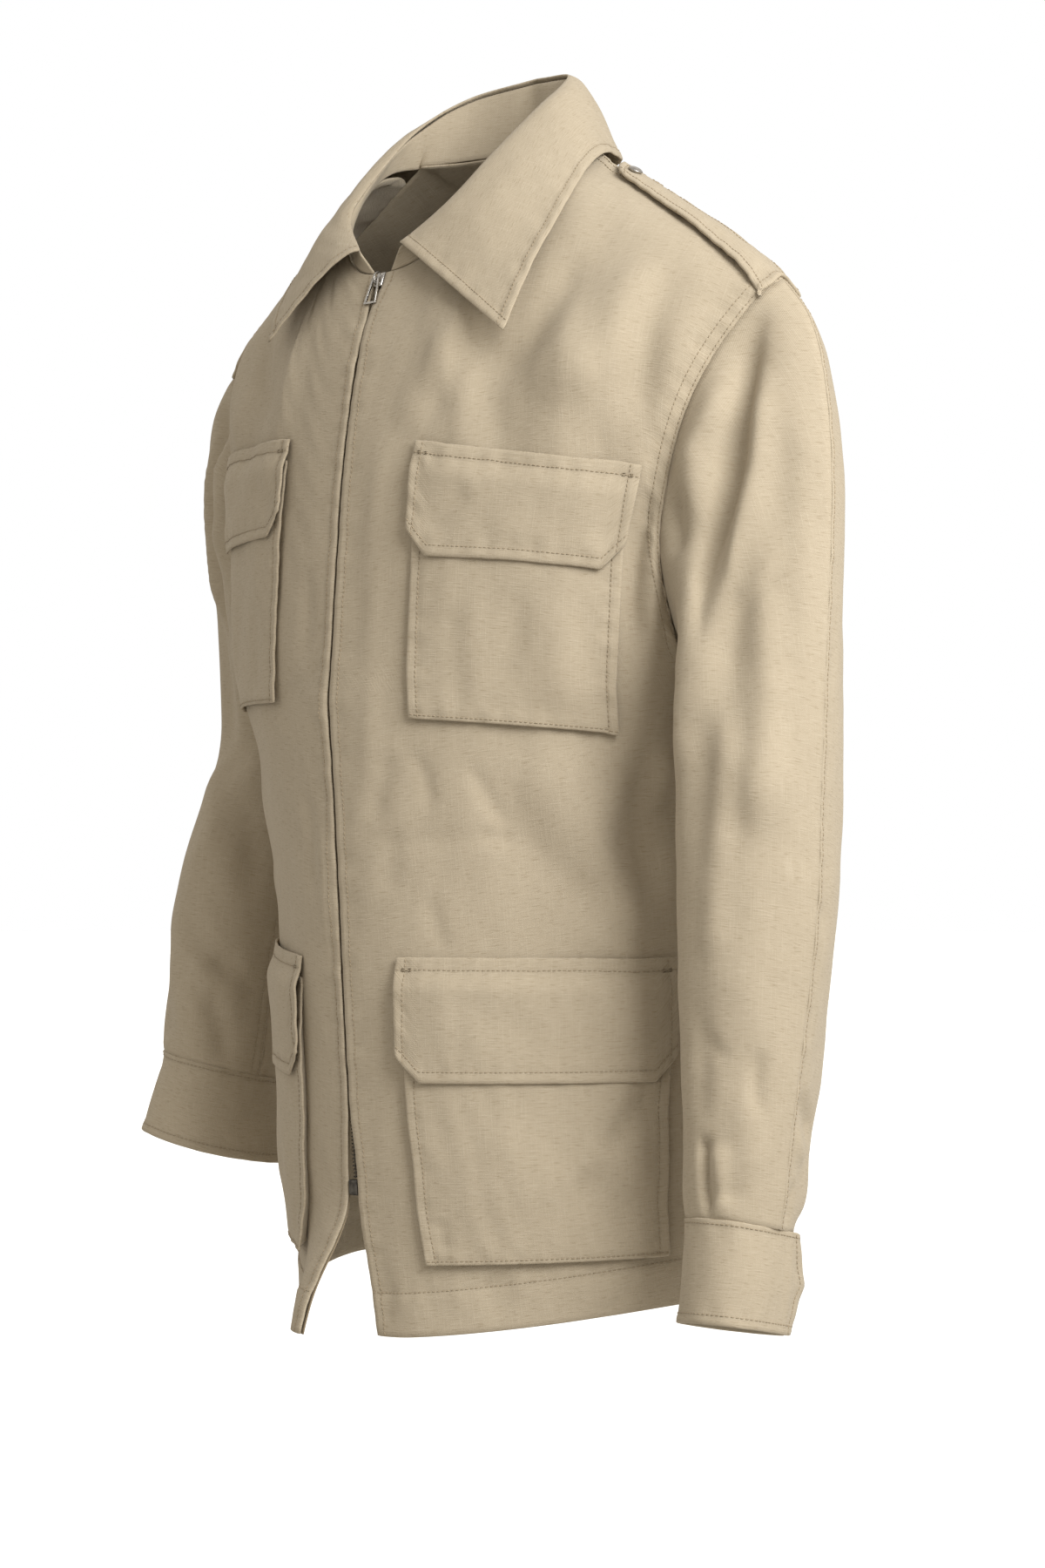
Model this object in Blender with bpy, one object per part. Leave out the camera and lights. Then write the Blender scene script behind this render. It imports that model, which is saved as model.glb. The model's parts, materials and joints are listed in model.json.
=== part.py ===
"""Cotton field jacket in its hollow worn form.

Metres, +Z up. The front faces -Y and the wearer's left is +X. The origin lies between the shoulder
tips, at the height of the neck. Every cloth piece is a thin closed wall made from a grid of points.
"""

import math
from collections import namedtuple

import bpy
import numpy as np

# Cloth and seams
CLOTH = 0.0016
SEAM_GAP = 0.0003
LAY_GAP = 0.0005
POCKET_GAP = 0.0011

# Torso rings, hem to shoulder: height, centre, half width, depth forward and back of the centre
Ring = namedtuple("Ring", "z centre_x centre_y width front back")
TORSO_RINGS = (
    Ring(-0.775, 0.035, 0.034, 0.180, 0.186, 0.130),
    Ring(-0.680, 0.028, 0.028, 0.180, 0.180, 0.132),
    Ring(-0.580, 0.020, 0.022, 0.178, 0.174, 0.126),
    Ring(-0.480, 0.012, 0.014, 0.178, 0.165, 0.116),
    Ring(-0.400, 0.005, 0.006, 0.186, 0.156, 0.118),
    Ring(-0.360, 0.000, 0.000, 0.200, 0.148, 0.124),
    Ring(-0.300, 0.000, 0.000, 0.212, 0.143, 0.128),
    Ring(-0.220, 0.000, 0.000, 0.224, 0.136, 0.126),
    Ring(-0.150, 0.000, 0.000, 0.248, 0.124, 0.118),
    Ring(-0.080, 0.000, 0.000, 0.280, 0.104, 0.100),
    Ring(0.040, 0.000, 0.000, 0.300, 0.090, 0.070),
)
RING_POWER_FRONT = 1.75
RING_POWER_BACK = 2.2
SHOULDER_ROUND_FRONT = 0.150
SHOULDER_ROUND_BACK = 0.110

# Shoulder ridge: half width and height
Ridge = namedtuple("Ridge", "x z")
SHOULDER_RIDGE = (
    Ridge(0.000, 0.022),
    Ridge(0.072, 0.004),
    Ridge(0.115, -0.022),
    Ridge(0.180, -0.062),
    Ridge(0.252, -0.110),
)
NECK_HALF = 0.072
NECK_SHARE = 0.42
NECK_FRONT_Z = -0.088
NECK_BACK_Z = 0.010
SHOULDER_HALF = 0.252
UNDERARM_Z = -0.360

# Armhole edge of the body: height and half width
Armhole = namedtuple("Armhole", "z x")
ARMHOLE = (
    Armhole(-0.360, 0.2000),
    Armhole(-0.330, 0.1960),
    Armhole(-0.280, 0.1950),
    Armhole(-0.220, 0.2030),
    Armhole(-0.160, 0.2240),
    Armhole(-0.110, 0.2520),
)

# Hem height at the centre front, the sides and the centre back
HEM_FRONT_Z = -0.765
HEM_SIDE_Z = -0.738
HEM_BACK_Z = -0.752

# Grid sizes
FRONT_COLUMNS = 14
BACK_COLUMNS = 20
BODY_ROWS_BELOW = 15
BODY_ROWS_ARMHOLE = 10
ROW_CROWDING = 0.65
SLEEVE_CAP_ROWS = 8
SLEEVE_ROWS = 11

# Front edges: half gap of the closed front, and the height below which the fronts part
FRONT_EDGE_X = 0.0014
SLIDER_SPREAD = 0.0032
SPREAD_TOP_Z = -0.116
SPREAD_LOW_Z = -0.622
SPREAD_LENGTH = 0.014
SPREAD_LOW_LENGTH = 0.036
FRONT_PART_Z = -0.672
FRONT_PART_LENGTH = 0.10
FRONT_PART_WIDTH = 0.045
LEFT_PART = 0.012
RIGHT_PART = 0.020
RIGHT_FLARE = 0.030

# Soft folds of the body: panel, share of girth and height at both ends, half width,
# and depth, outwards plus
FRONT_GIRTH = 0.26
FOLD_FADE = 0.35
Fold = namedtuple("Fold", "panel girth_1 z_1 girth_2 z_2 half_width depth")
BODY_FOLDS = (
    Fold("front_left", 0.34, -0.105, 0.30, -0.215, 0.018, 0.0045),
    Fold("front_left", 0.52, -0.100, 0.46, -0.215, 0.019, -0.0050),
    Fold("front_left", 0.72, -0.100, 0.66, -0.220, 0.020, 0.0055),
    Fold("front_left", 1.00, -0.400, 0.52, -0.500, 0.020, -0.0060),
    Fold("front_left", 1.02, -0.440, 0.55, -0.540, 0.022, 0.0060),
    Fold("front_right", 0.34, -0.105, 0.30, -0.215, 0.018, 0.0040),
    Fold("front_right", 0.60, -0.100, 0.54, -0.220, 0.020, -0.0045),
    Fold("front_right", 0.98, -0.410, 0.50, -0.530, 0.022, 0.0055),
    Fold("back", -0.55, -0.180, -0.40, -0.550, 0.028, 0.0060),
    Fold("back", 0.50, -0.200, 0.35, -0.600, 0.028, 0.0060),
    Fold("back", -0.05, -0.120, 0.05, -0.450, 0.030, -0.0045),
    Fold("back", -0.90, -0.400, -0.35, -0.500, 0.024, 0.0050),
    Fold("back", 0.90, -0.420, 0.30, -0.540, 0.024, 0.0050),
)

# Sleeve sections below the underarm: centre, half width across the arm, half depth fore and aft
Section = namedtuple("Section", "x y z across fore")
SLEEVE_LEFT = (
    Section(0.258, -0.036, -0.425, 0.047, 0.054),
    Section(0.258, -0.042, -0.510, 0.045, 0.051),
    Section(0.258, -0.050, -0.600, 0.041, 0.047),
    Section(0.259, -0.056, -0.662, 0.038, 0.043),
    Section(0.260, -0.059, -0.682, 0.035, 0.040),
)
SLEEVE_RIGHT = (
    Section(-0.263, 0.046, -0.420, 0.047, 0.056),
    Section(-0.258, 0.012, -0.480, 0.046, 0.053),
    Section(-0.250, -0.012, -0.538, 0.044, 0.050),
    Section(-0.241, -0.030, -0.592, 0.041, 0.047),
    Section(-0.238, -0.035, -0.610, 0.038, 0.044),
)
SLEEVE_POWER = 2.2
SLEEVE_RADIUS = 0.056
SLEEVE_LENGTH = 0.560
OUTER_CREASE = 0.07
OUTER_CREASE_ANGLE = 0.30
CAP_LEAVE = 0.75
CAP_ARRIVE = 0.60
CAP_STEP = 0.0004

# Soft folds of the sleeves: angle from the outer seam (front is plus) and share of length at both ends
SleeveFold = namedtuple("SleeveFold", "sleeve angle_1 along_1 angle_2 along_2 half_width depth")
SLEEVE_FOLDS = (
    SleeveFold("left", 0.75, 0.06, 1.75, 0.52, 0.016, -0.0090),
    SleeveFold("left", 1.60, 0.10, 2.20, 0.42, 0.016, 0.0060),
    SleeveFold("left", 0.35, 0.45, 0.95, 0.40, 0.011, 0.0045),
    SleeveFold("left", 0.90, 0.62, 1.10, 0.98, 0.016, -0.0050),
    SleeveFold("left", -0.90, 0.30, -1.90, 0.55, 0.018, -0.0070),
    SleeveFold("left", -1.20, 0.60, -0.80, 0.95, 0.018, 0.0050),
    SleeveFold("right", 0.70, 0.08, 1.60, 0.50, 0.016, -0.0080),
    SleeveFold("right", 1.10, 0.52, 2.20, 0.62, 0.015, 0.0060),
    SleeveFold("right", 0.60, 0.66, 1.40, 0.95, 0.016, -0.0050),
    SleeveFold("right", -0.80, 0.34, -1.80, 0.56, 0.018, -0.0070),
    SleeveFold("right", -1.10, 0.62, -0.90, 0.95, 0.018, 0.0045),
)

# Cuffs
CUFF_HEIGHT = 0.064
CUFF_COLUMNS = 30
CUFF_ROWS = 3
CUFF_GROW = 1.03
CUFF_SLIT_ANGLE = -0.45
CUFF_TAB = 0.012
CUFF_LAP = 0.45

# Collar sections, centre back to centre front: fold line point and outer edge point of the fall
Collar = namedtuple("Collar", "turn fold_x fold_y fold_z edge_x edge_y edge_z")
COLLAR_LEFT = (
    Collar(0.00, 0.000, 0.042, 0.060, 0.000, 0.072, -0.002),
    Collar(0.25, 0.042, 0.030, 0.054, 0.064, 0.052, -0.004),
    Collar(0.50, 0.062, -0.010, 0.030, 0.104, -0.004, -0.012),
    Collar(0.75, 0.052, -0.072, -0.030, 0.124, -0.078, -0.080),
    Collar(1.00, 0.013, -0.106, -0.078, 0.122, -0.118, -0.150),
)
COLLAR_RIGHT = (
    Collar(0.00, 0.000, 0.042, 0.060, 0.000, 0.072, -0.002),
    Collar(0.25, -0.043, 0.030, 0.054, -0.064, 0.052, -0.004),
    Collar(0.50, -0.068, -0.010, 0.026, -0.104, -0.004, -0.012),
    Collar(0.75, -0.060, -0.072, -0.034, -0.110, -0.080, -0.080),
    Collar(1.00, -0.016, -0.106, -0.078, -0.084, -0.126, -0.132),
)
COLLAR_COLUMNS = 15
STAND_ROWS = 3
FALL_SHARES = (0.0, 0.05, 0.22, 0.48, 0.74, 1.0)
FALL_BULGE = 0.006
FALL_CLEAR = 0.0022
COLLAR_FRONT_TURN = 0.965

# Pockets and flaps on a front panel: girth distance from the centre front, heights, sizes
# and standing height
Pocket = namedtuple("Pocket", "name inner width top_z height stand flap_height flap_over")
POCKETS = (
    Pocket("chest", 0.062, 0.146, -0.226, 0.160, 0.007, 0.068, 0.003),
    Pocket("hip", 0.046, 0.182, -0.543, 0.176, 0.009, 0.068, 0.003),
)
POCKET_ROWS = 8
POCKET_RIM = 0.006
FLAP_ROWS = 4
FLAP_STAND = 0.0035
FLAP_MITRE = 0.016
FLAP_RISE = 0.014

# Epaulettes
EPAULETTE_START = 0.124
EPAULETTE_END = 0.234
EPAULETTE_WIDTH_NECK = 0.038
EPAULETTE_WIDTH_TIP = 0.042
EPAULETTE_THICK = 0.0026
EPAULETTE_COLUMNS = 8
EPAULETTE_ROWS = 4
SNAP_RADIUS = 0.0048
SNAP_HEIGHT = 0.0022
SNAP_INSET = 0.011
SNAP_SIDES = 16
EPAULETTE_BLUNT = 0.010
EPAULETTE_CLEAR = 0.0012

# Zip
TAPE_WIDTH = 0.014
TAPE_THICK = 0.0010
CHAIN_WIDTH = 0.0038
CHAIN_THICK = 0.0016
ZIP_ROWS = 26
ZIP_TOP_Z = -0.098
ZIP_BOTTOM_Z = -0.668
SLIDER_WIDTH = 0.0072
SLIDER_LENGTH = 0.0100
SLIDER_THICK = 0.0048
PULL_LENGTH = 0.0180
PULL_TOP_WIDTH = 0.0066
PULL_END_WIDTH = 0.0112
PULL_THICK = 0.0014
PULL_RIM = 0.0014
PULL_BAR = 0.0014
PULL_CLEAR = 0.0016
PIVOT_OUT = 0.0018
PIVOT_DOWN = 0.0010
TAPE_INSET = 0.0012
SLIDER_SINK = 0.0012
SLIDER_CHAMFER = 0.0010
BAIL_LENGTH = 0.0090
BAIL_HEIGHT = 0.0042
BAIL_THICK = 0.0009
BAIL_WIDTH = 0.0016
BAIL_STEPS = 8


def column(table, name):
    """One named column of a table as an array."""
    return np.array([getattr(row, name) for row in table])


def smooth(keys, values, at):
    """Monotone cubic through the points (keys, values), held flat beyond the ends."""
    order = np.argsort(keys)
    keys = np.asarray(keys, float)[order]
    values = np.asarray(values, float)[order]
    steps = np.diff(keys)
    slopes = np.diff(values) / steps
    tangents = np.empty(len(keys))
    tangents[0] = slopes[0]
    tangents[-1] = slopes[-1]
    product = slopes[:-1] * slopes[1:]
    total = slopes[:-1] + slopes[1:]
    safe = np.where(total == 0, 1.0, total)
    tangents[1:-1] = np.where(product > 0, 2 * product / safe, 0.0)
    at = np.clip(np.asarray(at, float), keys[0], keys[-1])
    cell = np.clip(np.searchsorted(keys, at, side="right") - 1, 0, len(steps) - 1)
    width = steps[cell]
    share = (at - keys[cell]) / width
    start = (1 + 2 * share) * (1 - share) ** 2 * values[cell]
    end = share**2 * (3 - 2 * share) * values[cell + 1]
    leave = share * (1 - share) ** 2 * width * tangents[cell]
    arrive = share**2 * (share - 1) * width * tangents[cell + 1]
    return start + end + leave + arrive


def table_at(table, key, name, at):
    """A named column of a table at the given values of its key column."""
    return smooth(column(table, key), column(table, name), at)


def unit(vectors):
    """Vectors scaled to length one."""
    vectors = np.asarray(vectors, float)
    return vectors / np.linalg.norm(vectors, axis=-1, keepdims=True)


def soft_step(share):
    """A smooth rise from 0 to 1."""
    share = np.clip(share, 0.0, 1.0)
    return share * share * (3 - 2 * share)


def torso_point(x, z, facing):
    """A point of the torso at half width x and height z; facing is -1 in front and +1 behind."""
    centre_x = table_at(TORSO_RINGS, "z", "centre_x", z)
    centre_y = table_at(TORSO_RINGS, "z", "centre_y", z)
    width = table_at(TORSO_RINGS, "z", "width", z)
    depth = table_at(TORSO_RINGS, "z", "front" if facing < 0 else "back", z)
    shoulder = table_at(SHOULDER_RIDGE, "x", "z", np.abs(x))
    rounding = SHOULDER_ROUND_FRONT if facing < 0 else SHOULDER_ROUND_BACK
    below = np.clip((shoulder - z) / rounding, 0.0, 1.0)
    side = np.clip(np.abs(x) / width, 0.0, 1.0)
    power = RING_POWER_FRONT if facing < 0 else RING_POWER_BACK
    reach = (1 - side**power) ** (1 / power) * np.sqrt(1 - (1 - below) ** 2)
    return np.stack([x + centre_x, centre_y + facing * depth * reach, z], axis=-1)


def edge_half_width(z):
    """Half width of the body panels at height z: side seam below the underarm, armhole above it."""
    width = table_at(TORSO_RINGS, "z", "width", z)
    armhole = table_at(ARMHOLE, "z", "x", z)
    return np.where(z < UNDERARM_Z, width, armhole)


def top_edge(girth, facing):
    """Half width and height of a panel's top edge, along the neck and then the shoulder."""
    neck_z = NECK_FRONT_Z if facing < 0 else NECK_BACK_Z
    side_z = table_at(SHOULDER_RIDGE, "x", "z", NECK_HALF)
    turn = np.clip(girth / NECK_SHARE, 0.0, 1.0) * math.pi / 2
    along = np.clip((girth - NECK_SHARE) / (1 - NECK_SHARE), 0.0, 1.0)
    shoulder_x = NECK_HALF + (SHOULDER_HALF - NECK_HALF) * along
    x = np.where(girth < NECK_SHARE, NECK_HALF * np.sin(turn), shoulder_x)
    ridge = table_at(SHOULDER_RIDGE, "x", "z", x)
    neck = side_z + (neck_z - side_z) * np.cos(turn)
    return x, np.where(girth < NECK_SHARE, neck, ridge)


def fold_lift(name, girth, points):
    """Outward move of a panel's points by its soft folds."""
    lift = np.zeros(points.shape[:2])
    for fold in BODY_FOLDS:
        if fold.panel != name:
            continue
        share = (points[..., 2] - fold.z_1) / (fold.z_2 - fold.z_1)
        inside = soft_step(share / FOLD_FADE) * soft_step((1 - share) / FOLD_FADE)
        middle = fold.girth_1 + (fold.girth_2 - fold.girth_1) * share
        away = (girth - middle) * FRONT_GIRTH / fold.half_width
        lift += fold.depth * inside * np.exp(-(away**2))
    return lift


def grid_normals(points, outward, ring=False):
    """Normals of a grid of points, turned to agree with an outward direction; a ring closes on itself."""
    if ring:
        along_u = np.roll(points, -1, axis=0) - np.roll(points, 1, axis=0)
    else:
        along_u = np.gradient(points, axis=0)
    along_v = np.gradient(points, axis=1)
    normals = unit(np.cross(along_u, along_v))
    sign = np.sign(np.sum(normals * outward))
    return normals * sign


def body_grid(girths, facing):
    """Outer points and normals of a body panel, as columns along the girth and rows from hem to top."""
    girth = np.abs(girths)[:, None]
    side = np.sign(girths)[:, None]
    below = np.linspace(0.0, 1.0, BODY_ROWS_BELOW + 1)[:-1]
    even = np.linspace(0.0, 1.0, BODY_ROWS_ARMHOLE + 1)
    above = even - ROW_CROWDING * np.sin(2 * math.pi * even) / (2 * math.pi)
    hem_centre = HEM_FRONT_Z if facing < 0 else HEM_BACK_Z
    hem = hem_centre + (HEM_SIDE_Z - hem_centre) * soft_step(girth)
    top_x, top_z = top_edge(girth, facing)
    low_z = hem + (UNDERARM_Z - hem) * below
    high_z = UNDERARM_Z + (top_z - UNDERARM_Z) * above
    z = np.concatenate([low_z, high_z], axis=1)
    spread = np.sin(girth * math.pi / 2)
    low_x = edge_half_width(low_z) * spread
    edge_z = UNDERARM_Z + (SHOULDER_RIDGE[-1].z - UNDERARM_Z) * above
    start_x = edge_half_width(np.full_like(edge_z, UNDERARM_Z)) * spread
    inner = start_x + (top_x - start_x) * soft_step(above)
    edge_x = edge_half_width(edge_z)
    edge_line = edge_half_width(np.full_like(edge_z, UNDERARM_Z)) * (1 - soft_step(above))
    bend = edge_x - (edge_line + SHOULDER_HALF * soft_step(above))
    high_x = inner + bend * girth**3
    x = np.concatenate([low_x, high_x], axis=1) * side
    points = torso_point(x, z, facing)
    normals = grid_normals(points, np.array([0.0, facing, 0.0]))
    return points, normals, z


def part_fronts(points, left):
    """Moves the lower front edges apart below the bottom slider, the right one turned outwards."""
    drop = soft_step((FRONT_PART_Z - points[..., 2]) / FRONT_PART_LENGTH)
    near = np.exp(-((points[..., 0] - points[:1, :, 0]) / FRONT_PART_WIDTH) ** 2)
    moved = points.copy()
    if left:
        moved[..., 0] += LEFT_PART * drop * near
    else:
        moved[..., 0] -= RIGHT_PART * drop * near
        moved[..., 1] -= RIGHT_FLARE * drop * near
    return moved


def add_solid(name, points, faces):
    """Adds a mesh object from points and faces."""
    mesh = bpy.data.meshes.new(name)
    mesh.from_pydata([tuple(point) for point in points], [], faces)
    mesh.validate()
    added = bpy.data.objects.new(name, mesh)
    bpy.context.scene.collection.objects.link(added)
    return added


def wall(name, outer, inner, ring=False):
    """A closed thin wall between two grids of points; a ring is closed along its first axis."""
    columns, rows = outer.shape[:2]
    count = columns * rows
    points = np.concatenate([outer.reshape(-1, 3), inner.reshape(-1, 3)])
    spans = columns if ring else columns - 1
    faces = []

    def at(i, j, layer):
        return layer * count + (i % columns) * rows + j

    for i in range(spans):
        for j in range(rows - 1):
            faces.append((at(i, j, 0), at(i + 1, j, 0), at(i + 1, j + 1, 0), at(i, j + 1, 0)))
            faces.append((at(i, j, 1), at(i, j + 1, 1), at(i + 1, j + 1, 1), at(i + 1, j, 1)))
        faces.append((at(i, 0, 0), at(i, 0, 1), at(i + 1, 0, 1), at(i + 1, 0, 0)))
        last = rows - 1
        faces.append((at(i, last, 0), at(i + 1, last, 0), at(i + 1, last, 1), at(i, last, 1)))
    if not ring:
        end = columns - 1
        for j in range(rows - 1):
            faces.append((at(0, j, 0), at(0, j + 1, 0), at(0, j + 1, 1), at(0, j, 1)))
            faces.append((at(end, j, 0), at(end, j, 1), at(end, j + 1, 1), at(end, j + 1, 0)))
    if signed_volume(points, faces) < 0:
        faces = [face[::-1] for face in faces]
    return add_solid(name, points, faces)


def signed_volume(points, faces):
    """Volume inside closed faces, minus where they face inwards."""
    total = 0.0
    for face in faces:
        first = points[face[0]]
        for second, third in zip(face[1:-1], face[2:]):
            total += np.dot(first, np.cross(points[second], points[third]))
    return total / 6


def front_edge(z):
    """Half gap between the front edges at height z; it widens at both sliders."""
    top = soft_step((z - SPREAD_TOP_Z) / SPREAD_LENGTH)
    low = soft_step((SPREAD_LOW_Z - z) / SPREAD_LOW_LENGTH)
    return FRONT_EDGE_X + SLIDER_SPREAD * (top + low)


def front_panel(left):
    """Outer points, normals and inner points of one front panel, columns from the centre front."""
    name = "front_left" if left else "front_right"
    side = 1 if left else -1
    girths = np.linspace(0.0, 1.0, FRONT_COLUMNS)
    girths[0] = 1e-6
    points, normals, z = body_grid(girths * side, -1)
    room = (1 - girths[:, None]) ** 3
    points[..., 0] += side * front_edge(z) * room
    points = part_fronts(points, left)
    lift = fold_lift(name, girths[:, None], points)
    points = points + normals * lift[..., None]
    centre_y = table_at(TORSO_RINGS, "z", "centre_y", points[-1, :, 2])
    points[-1, :, 1] = centre_y - edge_depth(z[-1], -1)
    points[..., 1] -= SEAM_GAP / 2 * np.linspace(0.0, 1.0, FRONT_COLUMNS)[:, None]
    return finish_panel(points, -1)


def edge_depth(z, facing):
    """Depth of a body panel's outer edge at height z, nought along the side seam."""
    x = edge_half_width(z)
    centre_y = table_at(TORSO_RINGS, "z", "centre_y", z)
    depth = np.abs(torso_point(x, z, facing)[..., 1] - centre_y)
    return np.where(z < UNDERARM_Z, 0.0, depth)


def back_panel():
    """Outer points, normals and inner points of the back, columns from the wearer's right to left."""
    girths = np.linspace(-1.0, 1.0, BACK_COLUMNS + 1)
    points, normals, z = body_grid(girths, 1)
    lift = fold_lift("back", girths[:, None], points)
    ends = 1 - np.abs(girths[:, None]) ** 6
    points = points + normals * (lift * ends)[..., None]
    points[..., 1] += SEAM_GAP / 2
    return finish_panel(points, 1)


def finish_panel(points, facing):
    """Normals squared up at the seams, and the inner points of a body panel."""
    normals = grid_normals(points, np.array([0.0, facing, 0.0]))
    seams = [normals[:, -1]]
    if facing < 0:
        seams.append(normals[-1, : BODY_ROWS_BELOW + 1])
    else:
        seams.append(normals[0, : BODY_ROWS_BELOW + 1])
        seams.append(normals[-1, : BODY_ROWS_BELOW + 1])
    for seam in seams:
        seam[:, 1] = np.where(np.abs(seam[:, 1]) < 0.9, 0.0, seam[:, 1])
    normals = unit(normals)
    return points, normals, points - normals * CLOTH


def panel_level(panel, z):
    """Points and normals of a panel's columns at one height, and their girth distance from the front edge."""
    points, normals, _ = panel
    level = np.empty((len(points), 6))
    for i in range(len(points)):
        for k in range(3):
            level[i, k] = np.interp(z, points[i, :, 2], points[i, :, k])
            level[i, 3 + k] = np.interp(z, points[i, :, 2], normals[i, :, k])
    steps = np.linalg.norm(np.diff(level[:, :3], axis=0), axis=1)
    return level, np.concatenate([[0.0], np.cumsum(steps)])


def on_panel(panel, start, end, rim, heights):
    """Grid on a panel between two girth distances: rims at both edges, the panel's own columns between."""
    middle = panel_level(panel, float(np.mean(heights)))[1]
    inside = np.nonzero((middle > start + rim * 1.5) & (middle < end - rim * 1.5))[0]
    count = len(inside) + 4
    heights = np.broadcast_to(heights, (count, heights.shape[-1]))
    found = np.empty(heights.shape + (6,))
    for i, j in np.ndindex(heights.shape):
        level, run = panel_level(panel, heights[i, j])
        places = np.concatenate([[start, start + rim], run[inside], [end - rim, end]])
        for k in range(6):
            found[i, j, k] = np.interp(places[i], run, level[:, k])
    return found[..., :3], unit(found[..., 3:])


def columns_between(panel, start, end, rim, z):
    """Number of grid columns that on_panel makes."""
    middle = panel_level(panel, z)[1]
    return int(np.sum((middle > start + rim * 1.5) & (middle < end - rim * 1.5))) + 4


def pocket_lift(pocket, z):
    """Height of a pocket's middle above its panel at height z."""
    down = (pocket.top_z - z) / pocket.height
    return POCKET_GAP + pocket.stand * (0.25 + 0.75 * soft_step(down / 0.35))


def edged_shares(count, rim):
    """Shares from 0 to 1, with a narrow first and last step."""
    return np.concatenate([[0.0], np.linspace(rim, 1 - rim, count - 1), [1.0]])


def add_pocket(name, panel, pocket):
    """A bellows patch pocket, open along its top edge."""
    z = (pocket.top_z - edged_shares(POCKET_ROWS, POCKET_RIM / pocket.height) * pocket.height)[None]
    points, normals = on_panel(panel, pocket.inner, pocket.inner + pocket.width, POCKET_RIM, z)
    inside = np.ones(points.shape[:2])
    inside[0] = 0.0
    inside[-1] = 0.0
    inside[:, -1] = 0.0
    lift = POCKET_GAP + (pocket_lift(pocket, z) - POCKET_GAP) * inside
    inner = points + normals * lift[..., None]
    wall(name, inner + normals * CLOTH, inner)


def add_flap(name, panel, pocket):
    """A pocket flap with mitred lower corners, lying over the top of its pocket."""
    start = pocket.inner - pocket.flap_over
    end = pocket.inner + pocket.width + pocket.flap_over
    top = pocket.top_z + FLAP_RISE
    middle_z = top - pocket.flap_height / 2
    count = columns_between(panel, start, end, FLAP_MITRE, middle_z)
    ends = np.zeros((count, 1))
    ends[0] = 1.0
    ends[-1] = 1.0
    rows = np.linspace(0.0, 1.0, FLAP_ROWS + 1)[None]
    drop = rows * (pocket.flap_height - FLAP_MITRE * ends)
    z = top - drop
    points, normals = on_panel(panel, start, end, FLAP_MITRE, z)
    over = pocket_lift(pocket, np.minimum(z, pocket.top_z)) + CLOTH + POCKET_GAP
    lift = POCKET_GAP + over * soft_step(drop / FLAP_RISE) + FLAP_STAND * rows**2
    inner = points + normals * lift[..., None]
    wall(name, inner + normals * CLOTH, inner)


def sleeve_frames(table):
    """Centre, outward axis, forward axis and downward axis of every ring of a sleeve below its cap."""
    side = np.sign(table[0].x)
    rows = np.linspace(0.0, 1.0, SLEEVE_ROWS + 1)
    keys = np.linspace(0.0, 1.0, len(table))
    centres = np.stack([smooth(keys, column(table, name), rows) for name in ("x", "y", "z")], axis=-1)
    downward = unit(np.gradient(centres, axis=0))
    outward = np.array([side, 0.0, 0.0]) - downward * (downward[:, :1] * side)
    outward = unit(outward)
    forward = np.cross(downward, outward) * side
    across = smooth(keys, column(table, "across"), rows)
    fore = smooth(keys, column(table, "fore"), rows)
    return centres, outward, forward, downward, across, fore


def round_ring(angles, power):
    """Cosine and sine of angles on a superellipse."""
    cosine = np.sign(np.cos(angles)) * np.abs(np.cos(angles)) ** (2 / power)
    sine = np.sign(np.sin(angles)) * np.abs(np.sin(angles)) ** (2 / power)
    return cosine, sine


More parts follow.
